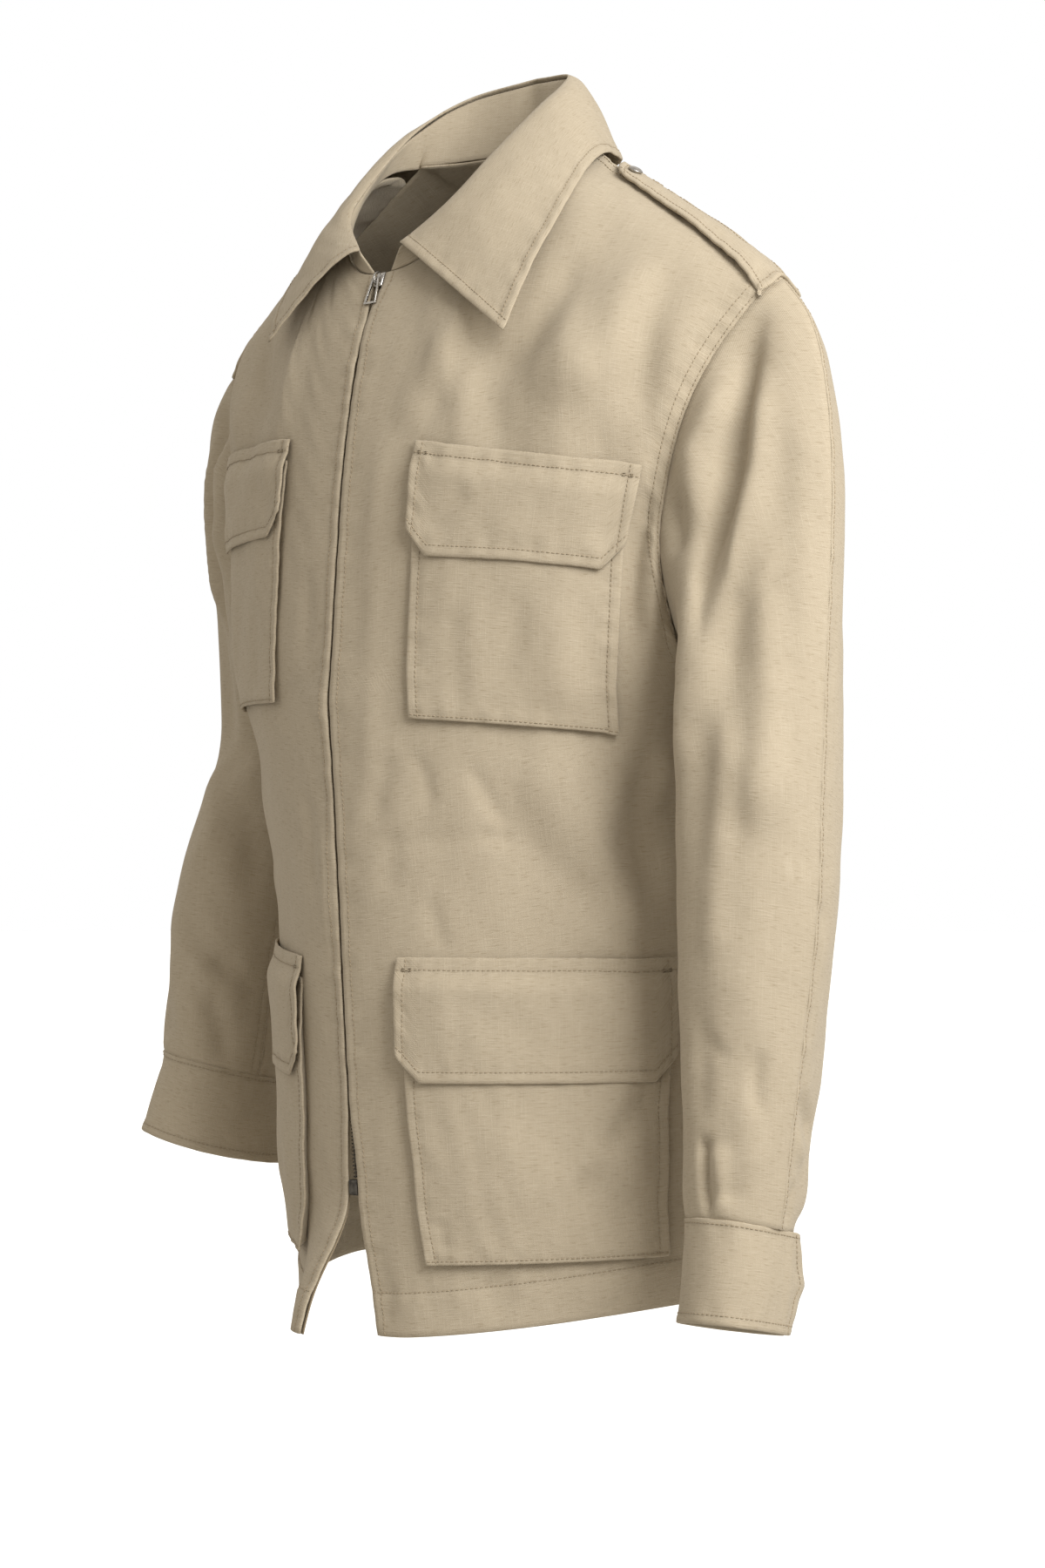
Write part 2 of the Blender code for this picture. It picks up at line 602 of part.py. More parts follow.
def sleeve_tube(table, front, back):
    """Outer and inner points of the front and back panels of a sleeve, from both armhole edges, tip first."""
    side = np.sign(table[0].x)
    count = len(front[0])
    start, start_normals, leaving = (np.concatenate([f, b[-2:0:-1]]) for f, b in zip(front, back))
    for line, f, b in zip((start, start_normals, leaving), front, back):
        line[0] = (f[0] + b[0]) / 2
        line[count - 1] = (f[-1] + b[-1]) / 2
    start_normals = unit(start_normals)
    leaving = unit(leaving + start_normals * 1e-6)
    angles = np.concatenate([edge_angles(front[0]), -edge_angles(back[0])[-2:0:-1]])
    centres, outward, forward, downward, across, fore = sleeve_frames(table)
    cosine, sine = round_ring(angles, SLEEVE_POWER)
    crease = 1 + OUTER_CREASE * np.exp(-((angles / OUTER_CREASE_ANGLE) ** 2))
    rings = (
        centres[None]
        + (cosine * crease)[:, None, None] * across[None, :, None] * outward[None]
        + sine[:, None, None] * fore[None, :, None] * forward[None]
    )
    begin = start + leaving * SEAM_GAP + start_normals * CAP_STEP
    length = np.linalg.norm(rings[:, 0] - begin, axis=1, keepdims=True)
    under = np.clip(np.abs(angles) / math.pi, 0.0, 1.0)[:, None]
    outwards = start_normals * (0.30 + 0.90 * under**1.5)
    lead = leaving * 0.75 * (1 - under) ** 0.7 + outwards + downward[0] * 0.35
    leave = unit(lead) * length * CAP_LEAVE
    arrive = np.broadcast_to(downward[0], begin.shape) * length * CAP_ARRIVE
    share = np.linspace(0.0, 1.0, SLEEVE_CAP_ROWS + 1)[None, :-1, None]
    cap = (
        (1 + 2 * share) * (1 - share) ** 2 * begin[:, None]
        + share * (1 - share) ** 2 * leave[:, None]
        + share**2 * (3 - 2 * share) * rings[:, None, 0]
        + share**2 * (share - 1) * arrive[:, None]
    )
    points = np.concatenate([cap, rings], axis=1)
    middle = points.mean(axis=0, keepdims=True)
    normals = grid_normals(points, points - middle, ring=True)
    along = np.linspace(0.0, 1.0, points.shape[1])[None]
    lift = sleeve_lift("left" if side > 0 else "right", angles[:, None], along)
    points = points + normals * lift[..., None]
    normals = grid_normals(points, points - middle, ring=True)
    normals[:, 0] = start_normals
    inner = points - normals * CLOTH
    order = np.arange(len(points))
    halves = (order[:count], np.append(order[count - 1 :], 0))
    return [(open_seams(points[half]), open_seams(inner[half])) for half in halves]


def edge_angles(edge):
    """Angles round a sleeve, outer seam to underarm seam, shared out by length along an armhole edge."""
    steps = np.linalg.norm(np.diff(edge, axis=0), axis=1)
    return np.concatenate([[0.0], np.cumsum(steps)]) / np.sum(steps) * math.pi


def open_seams(points):
    """A sleeve panel drawn back from its two long seams by half a seam gap."""
    drawn = points.copy()
    drawn[0] += unit(points[1] - points[0]) * SEAM_GAP / 2
    drawn[-1] += unit(points[-2] - points[-1]) * SEAM_GAP / 2
    return drawn


def sleeve_lift(name, angle, along):
    """Outward move of a sleeve's points by its soft folds."""
    lift = np.zeros(np.broadcast(angle, along).shape)
    ends = soft_step(along / 0.10) * soft_step((1 - along) / 0.06)
    seams = soft_step(np.abs(angle) / 0.25) * soft_step((math.pi - np.abs(angle)) / 0.35)
    for fold in SLEEVE_FOLDS:
        if fold.sleeve != name:
            continue
        run_angle = (fold.angle_2 - fold.angle_1) * SLEEVE_RADIUS
        run_along = (fold.along_2 - fold.along_1) * SLEEVE_LENGTH
        reach = math.hypot(run_angle, run_along)
        off_angle = (angle - fold.angle_1) * SLEEVE_RADIUS
        off_along = (along - fold.along_1) * SLEEVE_LENGTH
        share = (off_angle * run_angle + off_along * run_along) / reach**2
        away = (off_angle * run_along - off_along * run_angle) / reach / fold.half_width
        inside = soft_step(share / 0.3) * soft_step((1 - share) / 0.3)
        lift += fold.depth * inside * np.exp(-(away**2))
    return lift * ends * seams


def armhole_edge(panel, at_end):
    """Armhole edge of a body panel, shoulder tip first: points, normals and directions leaving the panel."""
    points, normals, _ = panel
    last, before = (-1, -2) if at_end else (0, 1)
    rows = slice(BODY_ROWS_BELOW, None)
    edge = points[last, rows][::-1]
    normal = normals[last, rows][::-1]
    girthwise = unit(points[last, rows] - points[before, rows])[::-1]
    leaving = unit(np.cross(np.gradient(edge, axis=0), normal))
    leaving *= np.sign(np.sum(leaving * girthwise))
    return edge, normal, leaving


def add_cuff(name, table):
    """A cuff band, split at its slit, the outer end cut to a point and lapped over the inner end."""
    centres, outward, forward, downward, across, fore = sleeve_frames(table)
    shares = np.linspace(0.0, 1.0, CUFF_COLUMNS + 1)[:, None]
    down = np.linspace(0.0, 1.0, CUFF_ROWS + 1)[None]
    point_out = CUFF_TAB / across[-1] * (1 - np.abs(2 * down - 1)) * soft_step((shares - 0.9) / 0.1)
    angles = CUFF_SLIT_ANGLE + shares * (2 * math.pi + CUFF_LAP) + point_out
    lap = (CLOTH + LAY_GAP * 2) * soft_step((angles - CUFF_SLIT_ANGLE - 2 * math.pi + 0.7) / 0.6)
    cosine, sine = round_ring(angles, SLEEVE_POWER)
    grow = 1 + (CUFF_GROW - 1) * down
    centre = centres[-1] + downward[-1] * (SEAM_GAP * 2 + down * CUFF_HEIGHT)[..., None]
    points = (
        centre
        + ((across[-1] * grow + lap) * cosine)[..., None] * outward[-1]
        + ((fore[-1] * grow + lap) * sine)[..., None] * forward[-1]
    )
    normals = grid_normals(points, points - centre)
    wall(name, points, points - normals * CLOTH)


def clear_of_torso(points, gap):
    """Points moved out until they clear the body by a gap."""
    moved = points.copy()
    ridge = table_at(SHOULDER_RIDGE, "x", "z", np.abs(moved[..., 0]))
    facing = np.where(moved[..., 1] < 0, -1, 1)
    front = torso_point(moved[..., 0], moved[..., 2], -1)[..., 1]
    behind = torso_point(moved[..., 0], moved[..., 2], 1)[..., 1]
    surface = np.where(facing < 0, front, behind)
    under = moved[..., 2] < ridge
    short = facing * (moved[..., 1] - surface) < gap
    moved[..., 1] = np.where(under & short, surface + facing * gap, moved[..., 1])
    low = ~under & (moved[..., 2] < ridge + gap)
    moved[..., 2] = np.where(low, ridge + gap, moved[..., 2])
    return moved


def neck_point(turn, side):
    """A point of the neck seam, from the centre back (0) by the shoulder (0.5) to the centre front (1)."""
    behind = turn < 0.5
    girth = NECK_SHARE * np.where(behind, turn / 0.5, (1 - turn) / 0.5)
    back_x, back_z = top_edge(girth, 1)
    front_x, front_z = top_edge(girth, -1)
    back = torso_point(back_x, back_z, 1)
    front = torso_point(front_x, front_z, -1)
    seam = np.where(behind[:, None], back, front)
    seam[:, 0] = np.abs(seam[:, 0]) * side
    return seam


def collar_lines():
    """Seam, fold and outer edge lines of the collar, from the right front end round to the left."""
    halves = []
    for table, side in ((COLLAR_RIGHT, -1), (COLLAR_LEFT, 1)):
        turns = np.linspace(0.0, COLLAR_FRONT_TURN, COLLAR_COLUMNS + 1)
        seam = neck_point(turns, side)
        lines = [seam]
        for names in (("fold_x", "fold_y", "fold_z"), ("edge_x", "edge_y", "edge_z")):
            lines.append(np.stack([table_at(table, "turn", name, turns) for name in names], axis=-1))
        halves.append(lines)
    return [np.concatenate([right[:0:-1], left]) for right, left in zip(*halves)]


def add_collar():
    """The collar stand and the turned-down fall."""
    seam, fold, edge = collar_lines()
    up = unit(fold - seam)
    share = np.linspace(0.0, 1.0, STAND_ROWS + 1)[None, :, None]
    bottom = seam + up * SEAM_GAP * 2
    top = fold - up * (CLOTH + 2 * LAY_GAP)
    stand = bottom[:, None] * (1 - share) + top[:, None] * share
    away = stand - np.array([0.0, -0.03, 0.0])
    away[..., 2] = 0.0
    normals = grid_normals(stand, away)
    wall("collar_stand", stand, stand - normals * CLOTH)

    inward = -normals[:, -1] * CLOTH
    start = fold + inward
    out = unit(edge - fold)
    rise = unit(np.cross(np.gradient(fold, axis=0), out))
    rise *= np.sign(np.sum(rise * away[:, -1]))
    fall = []
    for row in FALL_SHARES:
        line = start * (1 - row) + edge * row
        arch = FALL_BULGE * math.sin(math.pi * min(1.0, row**0.6))
        fall.append(line + rise * arch)
    under = clear_of_torso(np.stack(fall, axis=1), FALL_CLEAR)
    normals = grid_normals(under, rise[:, None])
    wall("collar_fall", under + normals * CLOTH, under)


def ridge_surface(x, offset):
    """A point of the shoulder at half width |x|, offset forward (minus) or back (plus) of the ridge."""
    ridge = table_at(SHOULDER_RIDGE, "x", "z", np.abs(x))
    z = ridge
    for _ in range(4):
        width = table_at(TORSO_RINGS, "z", "width", z)
        front = table_at(TORSO_RINGS, "z", "front", z)
        back = table_at(TORSO_RINGS, "z", "back", z)
        depth = np.where(offset < 0, front, back)
        side = np.clip(np.abs(x) / width, 0.0, 0.97)
        power = np.where(offset < 0, RING_POWER_FRONT, RING_POWER_BACK)
        depth = depth * (1 - side**power) ** (1 / power)
        rounding = np.where(offset < 0, SHOULDER_ROUND_FRONT, SHOULDER_ROUND_BACK)
        reach = np.clip(np.abs(offset) / depth, 0.0, 0.98)
        z = ridge - rounding * (1 - np.sqrt(1 - reach**2))
    return np.stack([x, offset, z], axis=-1)


def add_epaulette(name, side):
    """A shoulder strap along the ridge, and its snap near the collar end."""
    along = np.linspace(0.0, 1.0, EPAULETTE_COLUMNS + 1)
    across = np.linspace(-0.5, 0.5, EPAULETTE_ROWS + 1)
    shares, sides = np.meshgrid(along, across, indexing="ij")
    width = EPAULETTE_WIDTH_NECK + (EPAULETTE_WIDTH_TIP - EPAULETTE_WIDTH_NECK) * shares
    blunt = EPAULETTE_BLUNT * (1 - (2 * sides) ** 2) * (1 - shares)
    x = side * (EPAULETTE_START - blunt + (EPAULETTE_END - EPAULETTE_START + blunt) * shares)
    points = ridge_surface(x, sides * width)
    normals = grid_normals(points, np.array([0.0, 0.0, 1.0]))
    under = points + normals * EPAULETTE_CLEAR
    wall(f"epaulette_{name}", under + normals * EPAULETTE_THICK, under)
    middle = EPAULETTE_ROWS // 2
    share = SNAP_INSET / (EPAULETTE_END - EPAULETTE_START)
    base = under[0, middle] * (1 - share * EPAULETTE_COLUMNS) + under[1, middle] * share * EPAULETTE_COLUMNS
    normal = unit(normals[0, middle] + normals[1, middle])
    add_disc(f"snap_{name}", base + normal * (EPAULETTE_THICK + LAY_GAP), normal, SNAP_RADIUS, SNAP_HEIGHT)


def add_disc(name, base, normal, radius, height):
    """A domed disc standing on a base point."""
    across = unit(np.cross(normal, np.array([0.0, 1.0, 0.0])))
    second = np.cross(normal, across)
    points = []
    for lift, share in ((0.0, 1.0), (0.55, 1.0), (1.0, 0.62)):
        for turn in np.linspace(0.0, 2 * math.pi, SNAP_SIDES, endpoint=False):
            spoke = across * math.cos(turn) + second * math.sin(turn)
            points.append(base + normal * height * lift + spoke * radius * share)
    faces = [tuple(range(SNAP_SIDES))[::-1], tuple(range(2 * SNAP_SIDES, 3 * SNAP_SIDES))]
    for level in range(2):
        for i in range(SNAP_SIDES):
            low, high = level * SNAP_SIDES, (level + 1) * SNAP_SIDES
            after = (i + 1) % SNAP_SIDES
            faces.append((low + i, low + after, high + after, high + i))
    points = np.array(points)
    if signed_volume(points, faces) < 0:
        faces = [face[::-1] for face in faces]
    add_solid(name, points, faces)


def zip_frame(z):
    """Point, outward normal and downward direction on the centre front at height z."""
    point = torso_point(np.array(0.0), np.array(z), -1)
    below = torso_point(np.array(0.0), np.array(z - 0.004), -1)
    down = unit(below - point)
    normal = unit(np.cross(np.array([-1.0, 0.0, 0.0]), down))
    return point, normal * np.sign(-normal[1]), down


def add_tape(name, panel):
    """A zip tape along the inside of a front edge."""
    _, normals, inner = panel
    step = np.linalg.norm(inner[1] - inner[0], axis=1)[None, :, None]
    across = np.array([TAPE_INSET, TAPE_INSET + TAPE_WIDTH])[:, None, None] / step
    line = inner[:1] * (1 - across) + inner[1:2] * across
    normal = normals[:1] * (1 - across) + normals[1:2] * across
    outer = line - normal * LAY_GAP
    wall(name, outer, outer - normal * TAPE_THICK)


def add_chain():
    """The closed teeth as one bar between the tapes."""
    heights = np.linspace(ZIP_TOP_Z, ZIP_BOTTOM_Z, ZIP_ROWS + 1)
    front = []
    back = []
    for z in heights:
        point, normal, _ = zip_frame(z)
        middle = point - normal * (CLOTH + LAY_GAP + CHAIN_THICK / 2)
        half = np.array([CHAIN_WIDTH / 2, 0.0, 0.0])
        front.append((middle - half + normal * CHAIN_THICK / 2, middle + half + normal * CHAIN_THICK / 2))
        back.append((middle - half - normal * CHAIN_THICK / 2, middle + half - normal * CHAIN_THICK / 2))
    wall("chain", np.array(front), np.array(back))


def add_block(name, middle, normal, down, width, length, thick, chamfer):
    """A block with chamfered front edges, centred on a point of the zip."""
    right = np.array([1.0, 0.0, 0.0])
    levels = ((-0.5, 0.0), (0.5 - chamfer / thick, 0.0), (0.5, chamfer))
    points = []
    for share, inset in levels:
        for across, along in ((-1, -1), (1, -1), (1, 1), (-1, 1)):
            offset = right * across * (width / 2 - inset) + down * along * (length / 2 - inset)
            points.append(middle + normal * thick * share + offset)
    faces = [(3, 2, 1, 0), (8, 9, 10, 11)]
    for level in range(2):
        for i in range(4):
            after = (i + 1) % 4
            faces.append((level * 4 + i, level * 4 + after, level * 4 + 4 + after, level * 4 + 4 + i))
    points = np.array(points)
    if signed_volume(points, faces) < 0:
        faces = [face[::-1] for face in faces]
    add_solid(name, points, faces)


def add_zip_hardware():
    """Both sliders, the bail of the top one and its pull tab."""
    top_z = ZIP_TOP_Z + SLIDER_LENGTH * 0.6
    bottom_z = ZIP_BOTTOM_Z - SLIDER_LENGTH * 0.6
    for name, z in (("slider_top", top_z), ("slider_bottom", bottom_z)):
        point, normal, down = zip_frame(z)
        middle = point - normal * SLIDER_SINK
        add_block(name, middle, normal, down, SLIDER_WIDTH, SLIDER_LENGTH, SLIDER_THICK, SLIDER_CHAMFER)
    point, normal, down = zip_frame(top_z)
    face = point + normal * (SLIDER_THICK / 2 - SLIDER_SINK)
    add_bail(face, normal, down)
    pivot = face + normal * PIVOT_OUT + down * PIVOT_DOWN
    add_pull_tab(pivot, normal)


def add_bail(face, normal, down):
    """The arch on the slider that holds the pull tab."""
    right = np.array([1.0, 0.0, 0.0])
    outer = []
    inner = []
    for turn in np.linspace(0.0, math.pi, BAIL_STEPS + 1):
        along = down * -math.cos(turn)
        out = normal * math.sin(turn)
        outer_line = face + normal * LAY_GAP * 0.6 + along * BAIL_LENGTH / 2 + out * BAIL_HEIGHT
        inner_line = outer_line - along * BAIL_THICK - out * BAIL_THICK
        outer.append((outer_line - right * BAIL_WIDTH / 2, outer_line + right * BAIL_WIDTH / 2))
        inner.append((inner_line - right * BAIL_WIDTH / 2, inner_line + right * BAIL_WIDTH / 2))
    wall("bail_top", np.array(outer), np.array(inner))


def add_pull_tab(pivot, slider_normal):
    """The open trapezoid frame of the pull, hanging against the cloth below its pivot."""
    low = zip_frame(pivot[2] - PULL_LENGTH)[0]
    low_normal = zip_frame(pivot[2] - PULL_LENGTH * 0.6)[1]
    foot = low + low_normal * PULL_CLEAR
    down = unit(foot - pivot)
    right = np.array([1.0, 0.0, 0.0])
    normal = np.cross(right, down)
    normal *= np.sign(np.dot(normal, slider_normal))
    outline = (
        (-PULL_TOP_WIDTH / 2, -PULL_BAR / 2),
        (PULL_TOP_WIDTH / 2, -PULL_BAR / 2),
        (PULL_END_WIDTH / 2, PULL_LENGTH),
        (-PULL_END_WIDTH / 2, PULL_LENGTH),
    )
    window = (
        (-PULL_TOP_WIDTH / 2 + PULL_RIM, PULL_BAR / 2),
        (PULL_TOP_WIDTH / 2 - PULL_RIM, PULL_BAR / 2),
        (PULL_END_WIDTH / 2 - PULL_RIM, PULL_LENGTH - PULL_RIM),
        (-PULL_END_WIDTH / 2 + PULL_RIM, PULL_LENGTH - PULL_RIM),
    )
    loops = []
    for loop in (outline, window):
        flat = np.array([pivot + right * across + down * along for across, along in loop])
        loops.append(np.stack([flat + normal * PULL_THICK / 2, flat - normal * PULL_THICK / 2], axis=1))
    wall("pull_tab", loops[0], loops[1], ring=True)


def main():
    """Builds every piece of the jacket."""
    bpy.ops.object.select_all(action="SELECT")
    bpy.ops.object.delete()
    fronts = {"left": front_panel(True), "right": front_panel(False)}
    back = back_panel()
    for name, panel in fronts.items():
        wall(f"front_{name}", panel[0], panel[2])
        side = 1 if name == "left" else -1
        for pocket in POCKETS:
            add_pocket(f"pocket_{pocket.name}_{name}", panel, pocket)
            add_flap(f"flap_{pocket.name}_{name}", panel, pocket)
        add_tape(f"tape_{name}", panel)
        add_epaulette(name, side)
    wall("back", back[0], back[2])
    for name, table in (("left", SLEEVE_LEFT), ("right", SLEEVE_RIGHT)):
        front_edge_line = armhole_edge(fronts[name], True)
        back_edge_line = armhole_edge(back, name == "left")
        front_half, back_half = sleeve_tube(table, front_edge_line, back_edge_line)
        wall(f"sleeve_{name}_front", *front_half)
        wall(f"sleeve_{name}_back", *back_half)
        add_cuff(f"cuff_{name}", table)
    add_collar()
    add_chain()
    add_zip_hardware()


main()
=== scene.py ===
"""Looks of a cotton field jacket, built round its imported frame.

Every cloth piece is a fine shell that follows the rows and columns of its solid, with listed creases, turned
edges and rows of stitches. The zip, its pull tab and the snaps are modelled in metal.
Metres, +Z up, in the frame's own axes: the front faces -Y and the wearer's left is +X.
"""

from __future__ import annotations

import json
import logging
import math
from dataclasses import dataclass, field, replace
from enum import Enum
from typing import NamedTuple

import bpy
import numpy as np
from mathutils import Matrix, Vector
from mathutils.bvhtree import BVHTree

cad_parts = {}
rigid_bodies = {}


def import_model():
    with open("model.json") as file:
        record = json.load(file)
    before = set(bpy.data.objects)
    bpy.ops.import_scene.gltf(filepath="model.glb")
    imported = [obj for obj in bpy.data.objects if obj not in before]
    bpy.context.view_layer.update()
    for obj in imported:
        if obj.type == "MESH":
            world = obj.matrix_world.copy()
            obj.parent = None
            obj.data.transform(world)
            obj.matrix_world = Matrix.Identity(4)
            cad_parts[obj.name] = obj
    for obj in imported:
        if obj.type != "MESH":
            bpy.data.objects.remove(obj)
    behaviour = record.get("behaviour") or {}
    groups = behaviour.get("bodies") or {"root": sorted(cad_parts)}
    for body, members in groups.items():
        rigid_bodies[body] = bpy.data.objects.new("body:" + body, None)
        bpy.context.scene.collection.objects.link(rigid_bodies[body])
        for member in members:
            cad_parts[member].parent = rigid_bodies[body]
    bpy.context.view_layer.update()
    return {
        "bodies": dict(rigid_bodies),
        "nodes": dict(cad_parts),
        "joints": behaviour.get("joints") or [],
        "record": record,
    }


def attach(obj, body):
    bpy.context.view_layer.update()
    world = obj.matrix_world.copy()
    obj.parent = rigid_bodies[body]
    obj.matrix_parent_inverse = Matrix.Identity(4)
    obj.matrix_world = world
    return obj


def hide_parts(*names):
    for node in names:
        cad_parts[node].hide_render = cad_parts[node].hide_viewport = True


LOG = logging.getLogger("jacket")
PULL_BODY = "pull"
JACKET_BODY = "jacket"
SIDES = ("left", "right")
PICTURE_AZIMUTH = 45.0
UP = (0.0, 0.0, 1.0)

# Thicknesses of the solids' walls.
CLOTH = 0.0016
STRAP_CLOTH = 0.0026
TAPE_CLOTH = 0.0010
CHAIN_THICK = 0.0016

# Distances of the stitch rows from their edges.
PLACKET_ROWS = (0.0065,)
HEM_ROWS = (0.027,)
ARMHOLE_ROWS = (0.0018, 0.0085)
SEAM_ROWS = (0.0018, 0.0075)
CLOSE_ROWS = (0.0018,)
COLLAR_ROWS = (0.0065,)
POCKET_ROWS = (0.0062,)
FLAP_ROWS = (0.0066,)
FLAP_SEAM_ROWS = (0.0078,)
STRAP_ROWS = (0.005,)
CUFF_LOW_ROWS = (0.0055,)
CUFF_HIGH_ROWS = (0.0022,)
CUFF_END_ROWS = (0.006,)

# Where the armhole starts on a panel's side edge, and the share of a front's upper edge at the shoulder.
ARMHOLE_SPAN = (0.56, 1.0)
SHOULDER_SHARE = 0.58

# Strength of a crease that is copied to the other side.
MIRRORED = 0.8

# Steps from a piece's own seed to those of its finer patterns.
FINE_SEED = 50
GATHER_SEED = 7

# Distance from one point to the next along a line on the cloth.
LINE_STEP = 0.0015

# Distance to both sides over which a stitch takes its direction, as a share of its length.
STITCH_FEEL = 0.32

# Size of a gather away from its edge, as a share of its length along it.
GATHER_DEPTH = 4.0

# Numbers of the sockets that Blender's nodes show for colours, places and stored values.
MIX_FACTOR, MIX_FIRST, MIX_SECOND, MIX_RESULT = 0, 6, 7, 2
OBJECT_PLACES = 3
SECOND_PART = 1
STORED_VALUE = 2


class Facing(Enum):
    """Which way the outer side of a cloth piece looks; ROUND is away from the piece's own middle."""

    FRONT = (0.0, -1.0, 0.0)
    BACK = (0.0, 1.0, 0.0)
    UP = (0.0, 0.0, 1.0)
    ROUND = (0.0, 0.0, 0.0)


class Edge(Enum):
    """An edge of a cloth piece, seen from its outer side with its upper edge on top."""

    LEFT = "left"
    RIGHT = "right"
    LOW = "low"
    HIGH = "high"


class Fit(Enum):
    """How a fine shell follows its solid: a smooth curve through its points, or rounded between them."""

    THROUGH = "through"
    ROUNDED = "rounded"


def unit(vectors: np.ndarray) -> np.ndarray:
    """Vectors scaled to length one."""
    lengths = np.linalg.norm(vectors, axis=-1, keepdims=True)
    return vectors / np.maximum(lengths, 1e-12)


def soft_step(share: np.ndarray | float) -> np.ndarray:
    """A smooth rise from 0 to 1."""
    share = np.clip(share, 0.0, 1.0)
    return share * share * (3 - 2 * share)


def spline(keys: np.ndarray, values: np.ndarray, at: np.ndarray) -> np.ndarray:
    """A natural cubic spline through rows of values.

    Args:
        keys: rising key of every row.
        values: rows of values, two axes.
        at: keys to read the spline at.

    Returns:
        One row of values for every key in at.
    """
    gaps = np.diff(keys)
    count = len(keys)
    slopes = np.diff(values, axis=0) / gaps[:, None]
    system = np.eye(count)
    right = np.zeros_like(values)
    for i in range(1, count - 1):
        system[i, i - 1 : i + 2] = gaps[i - 1], 2 * (gaps[i - 1] + gaps[i]), gaps[i]
        right[i] = 6 * (slopes[i] - slopes[i - 1])
    bends = np.linalg.solve(system, right)
    cell = np.clip(np.searchsorted(keys, at, side="right") - 1, 0, count - 2)
    width = gaps[cell][:, None]
    ahead = (keys[cell + 1] - at)[:, None]
    behind = (at - keys[cell])[:, None]
    curved = (bends[cell] * ahead**3 + bends[cell + 1] * behind**3) / (6 * width)
    from_here = (values[cell] / width - bends[cell] * width / 6) * ahead
    to_next = (values[cell + 1] / width - bends[cell + 1] * width / 6) * behind
    return curved + from_here + to_next


def straight(keys: np.ndarray, values: np.ndarray, at: np.ndarray) -> np.ndarray:
    """Straight lines through rows of values, read at the given keys."""
    return np.stack([np.interp(at, keys, column) for column in values.T], axis=-1)


def arc_lengths(points: np.ndarray, axis: int) -> np.ndarray:
    """Distance along one axis of a grid of points, from its first line.

    Args:
        points: the grid.
        axis: the axis to measure along.

    Returns:
        The distance of every point.
    """
    steps = np.linalg.norm(np.diff(points, axis=axis), axis=-1)
    start = np.zeros_like(np.take(steps, [0], axis=axis))
    return np.concatenate([start, np.cumsum(steps, axis=axis)], axis=axis)


def edge_distances(points: np.ndarray) -> dict[Edge, np.ndarray]:
    """Distance of every point of a grid from each of its edges.

    Args:
        points: the grid.

    Returns:
        The distances by edge.
    """
    across, along = arc_lengths(points, 0), arc_lengths(points, 1)
    return {
        Edge.LEFT: across,
        Edge.RIGHT: across[-1:] - across,
        Edge.LOW: along,
        Edge.HIGH: along[:, -1:] - along,
    }


def grid_cells(columns: int, rows: int) -> np.ndarray:
    """Point numbers of the four corners of every cell of a grid."""
    numbers = np.arange(columns * rows).reshape(columns, rows)
    cells = [numbers[:-1, :-1], numbers[1:, :-1], numbers[1:, 1:], numbers[:-1, 1:]]
    return np.stack(cells, axis=-1).reshape(-1, 4)


def empty_grid() -> np.ndarray:
    """A grid with no points yet."""
    return np.zeros((0, 0, 3))


def ripples(across: np.ndarray, along: np.ndarray, size: tuple[float, float], seed: int) -> np.ndarray:
    """A smooth uneven ripple from about -1 to 1.

    Args:
        across: first coordinate in metres.
        along: second coordinate in metres.
        size: usual length of a ripple in either coordinate.
        seed: number that settles the pattern.

    Returns:
        The height of the ripple at every place.
    """
    draw = np.random.default_rng(seed)
    total = np.zeros(np.broadcast(across, along).shape)
    waves = 7
    shortest, longest = 0.6, 1.5
    for _ in range(waves):
        turn = draw.uniform(0.0, 2 * math.pi)
        stretch = draw.uniform(shortest, longest)
        phase = draw.uniform(0.0, 2 * math.pi)
        wave = across * math.cos(turn) / size[0] + along * math.sin(turn) / size[1]
        total += np.sin(2 * math.pi * wave / stretch + phase)
    return total / math.sqrt(waves)


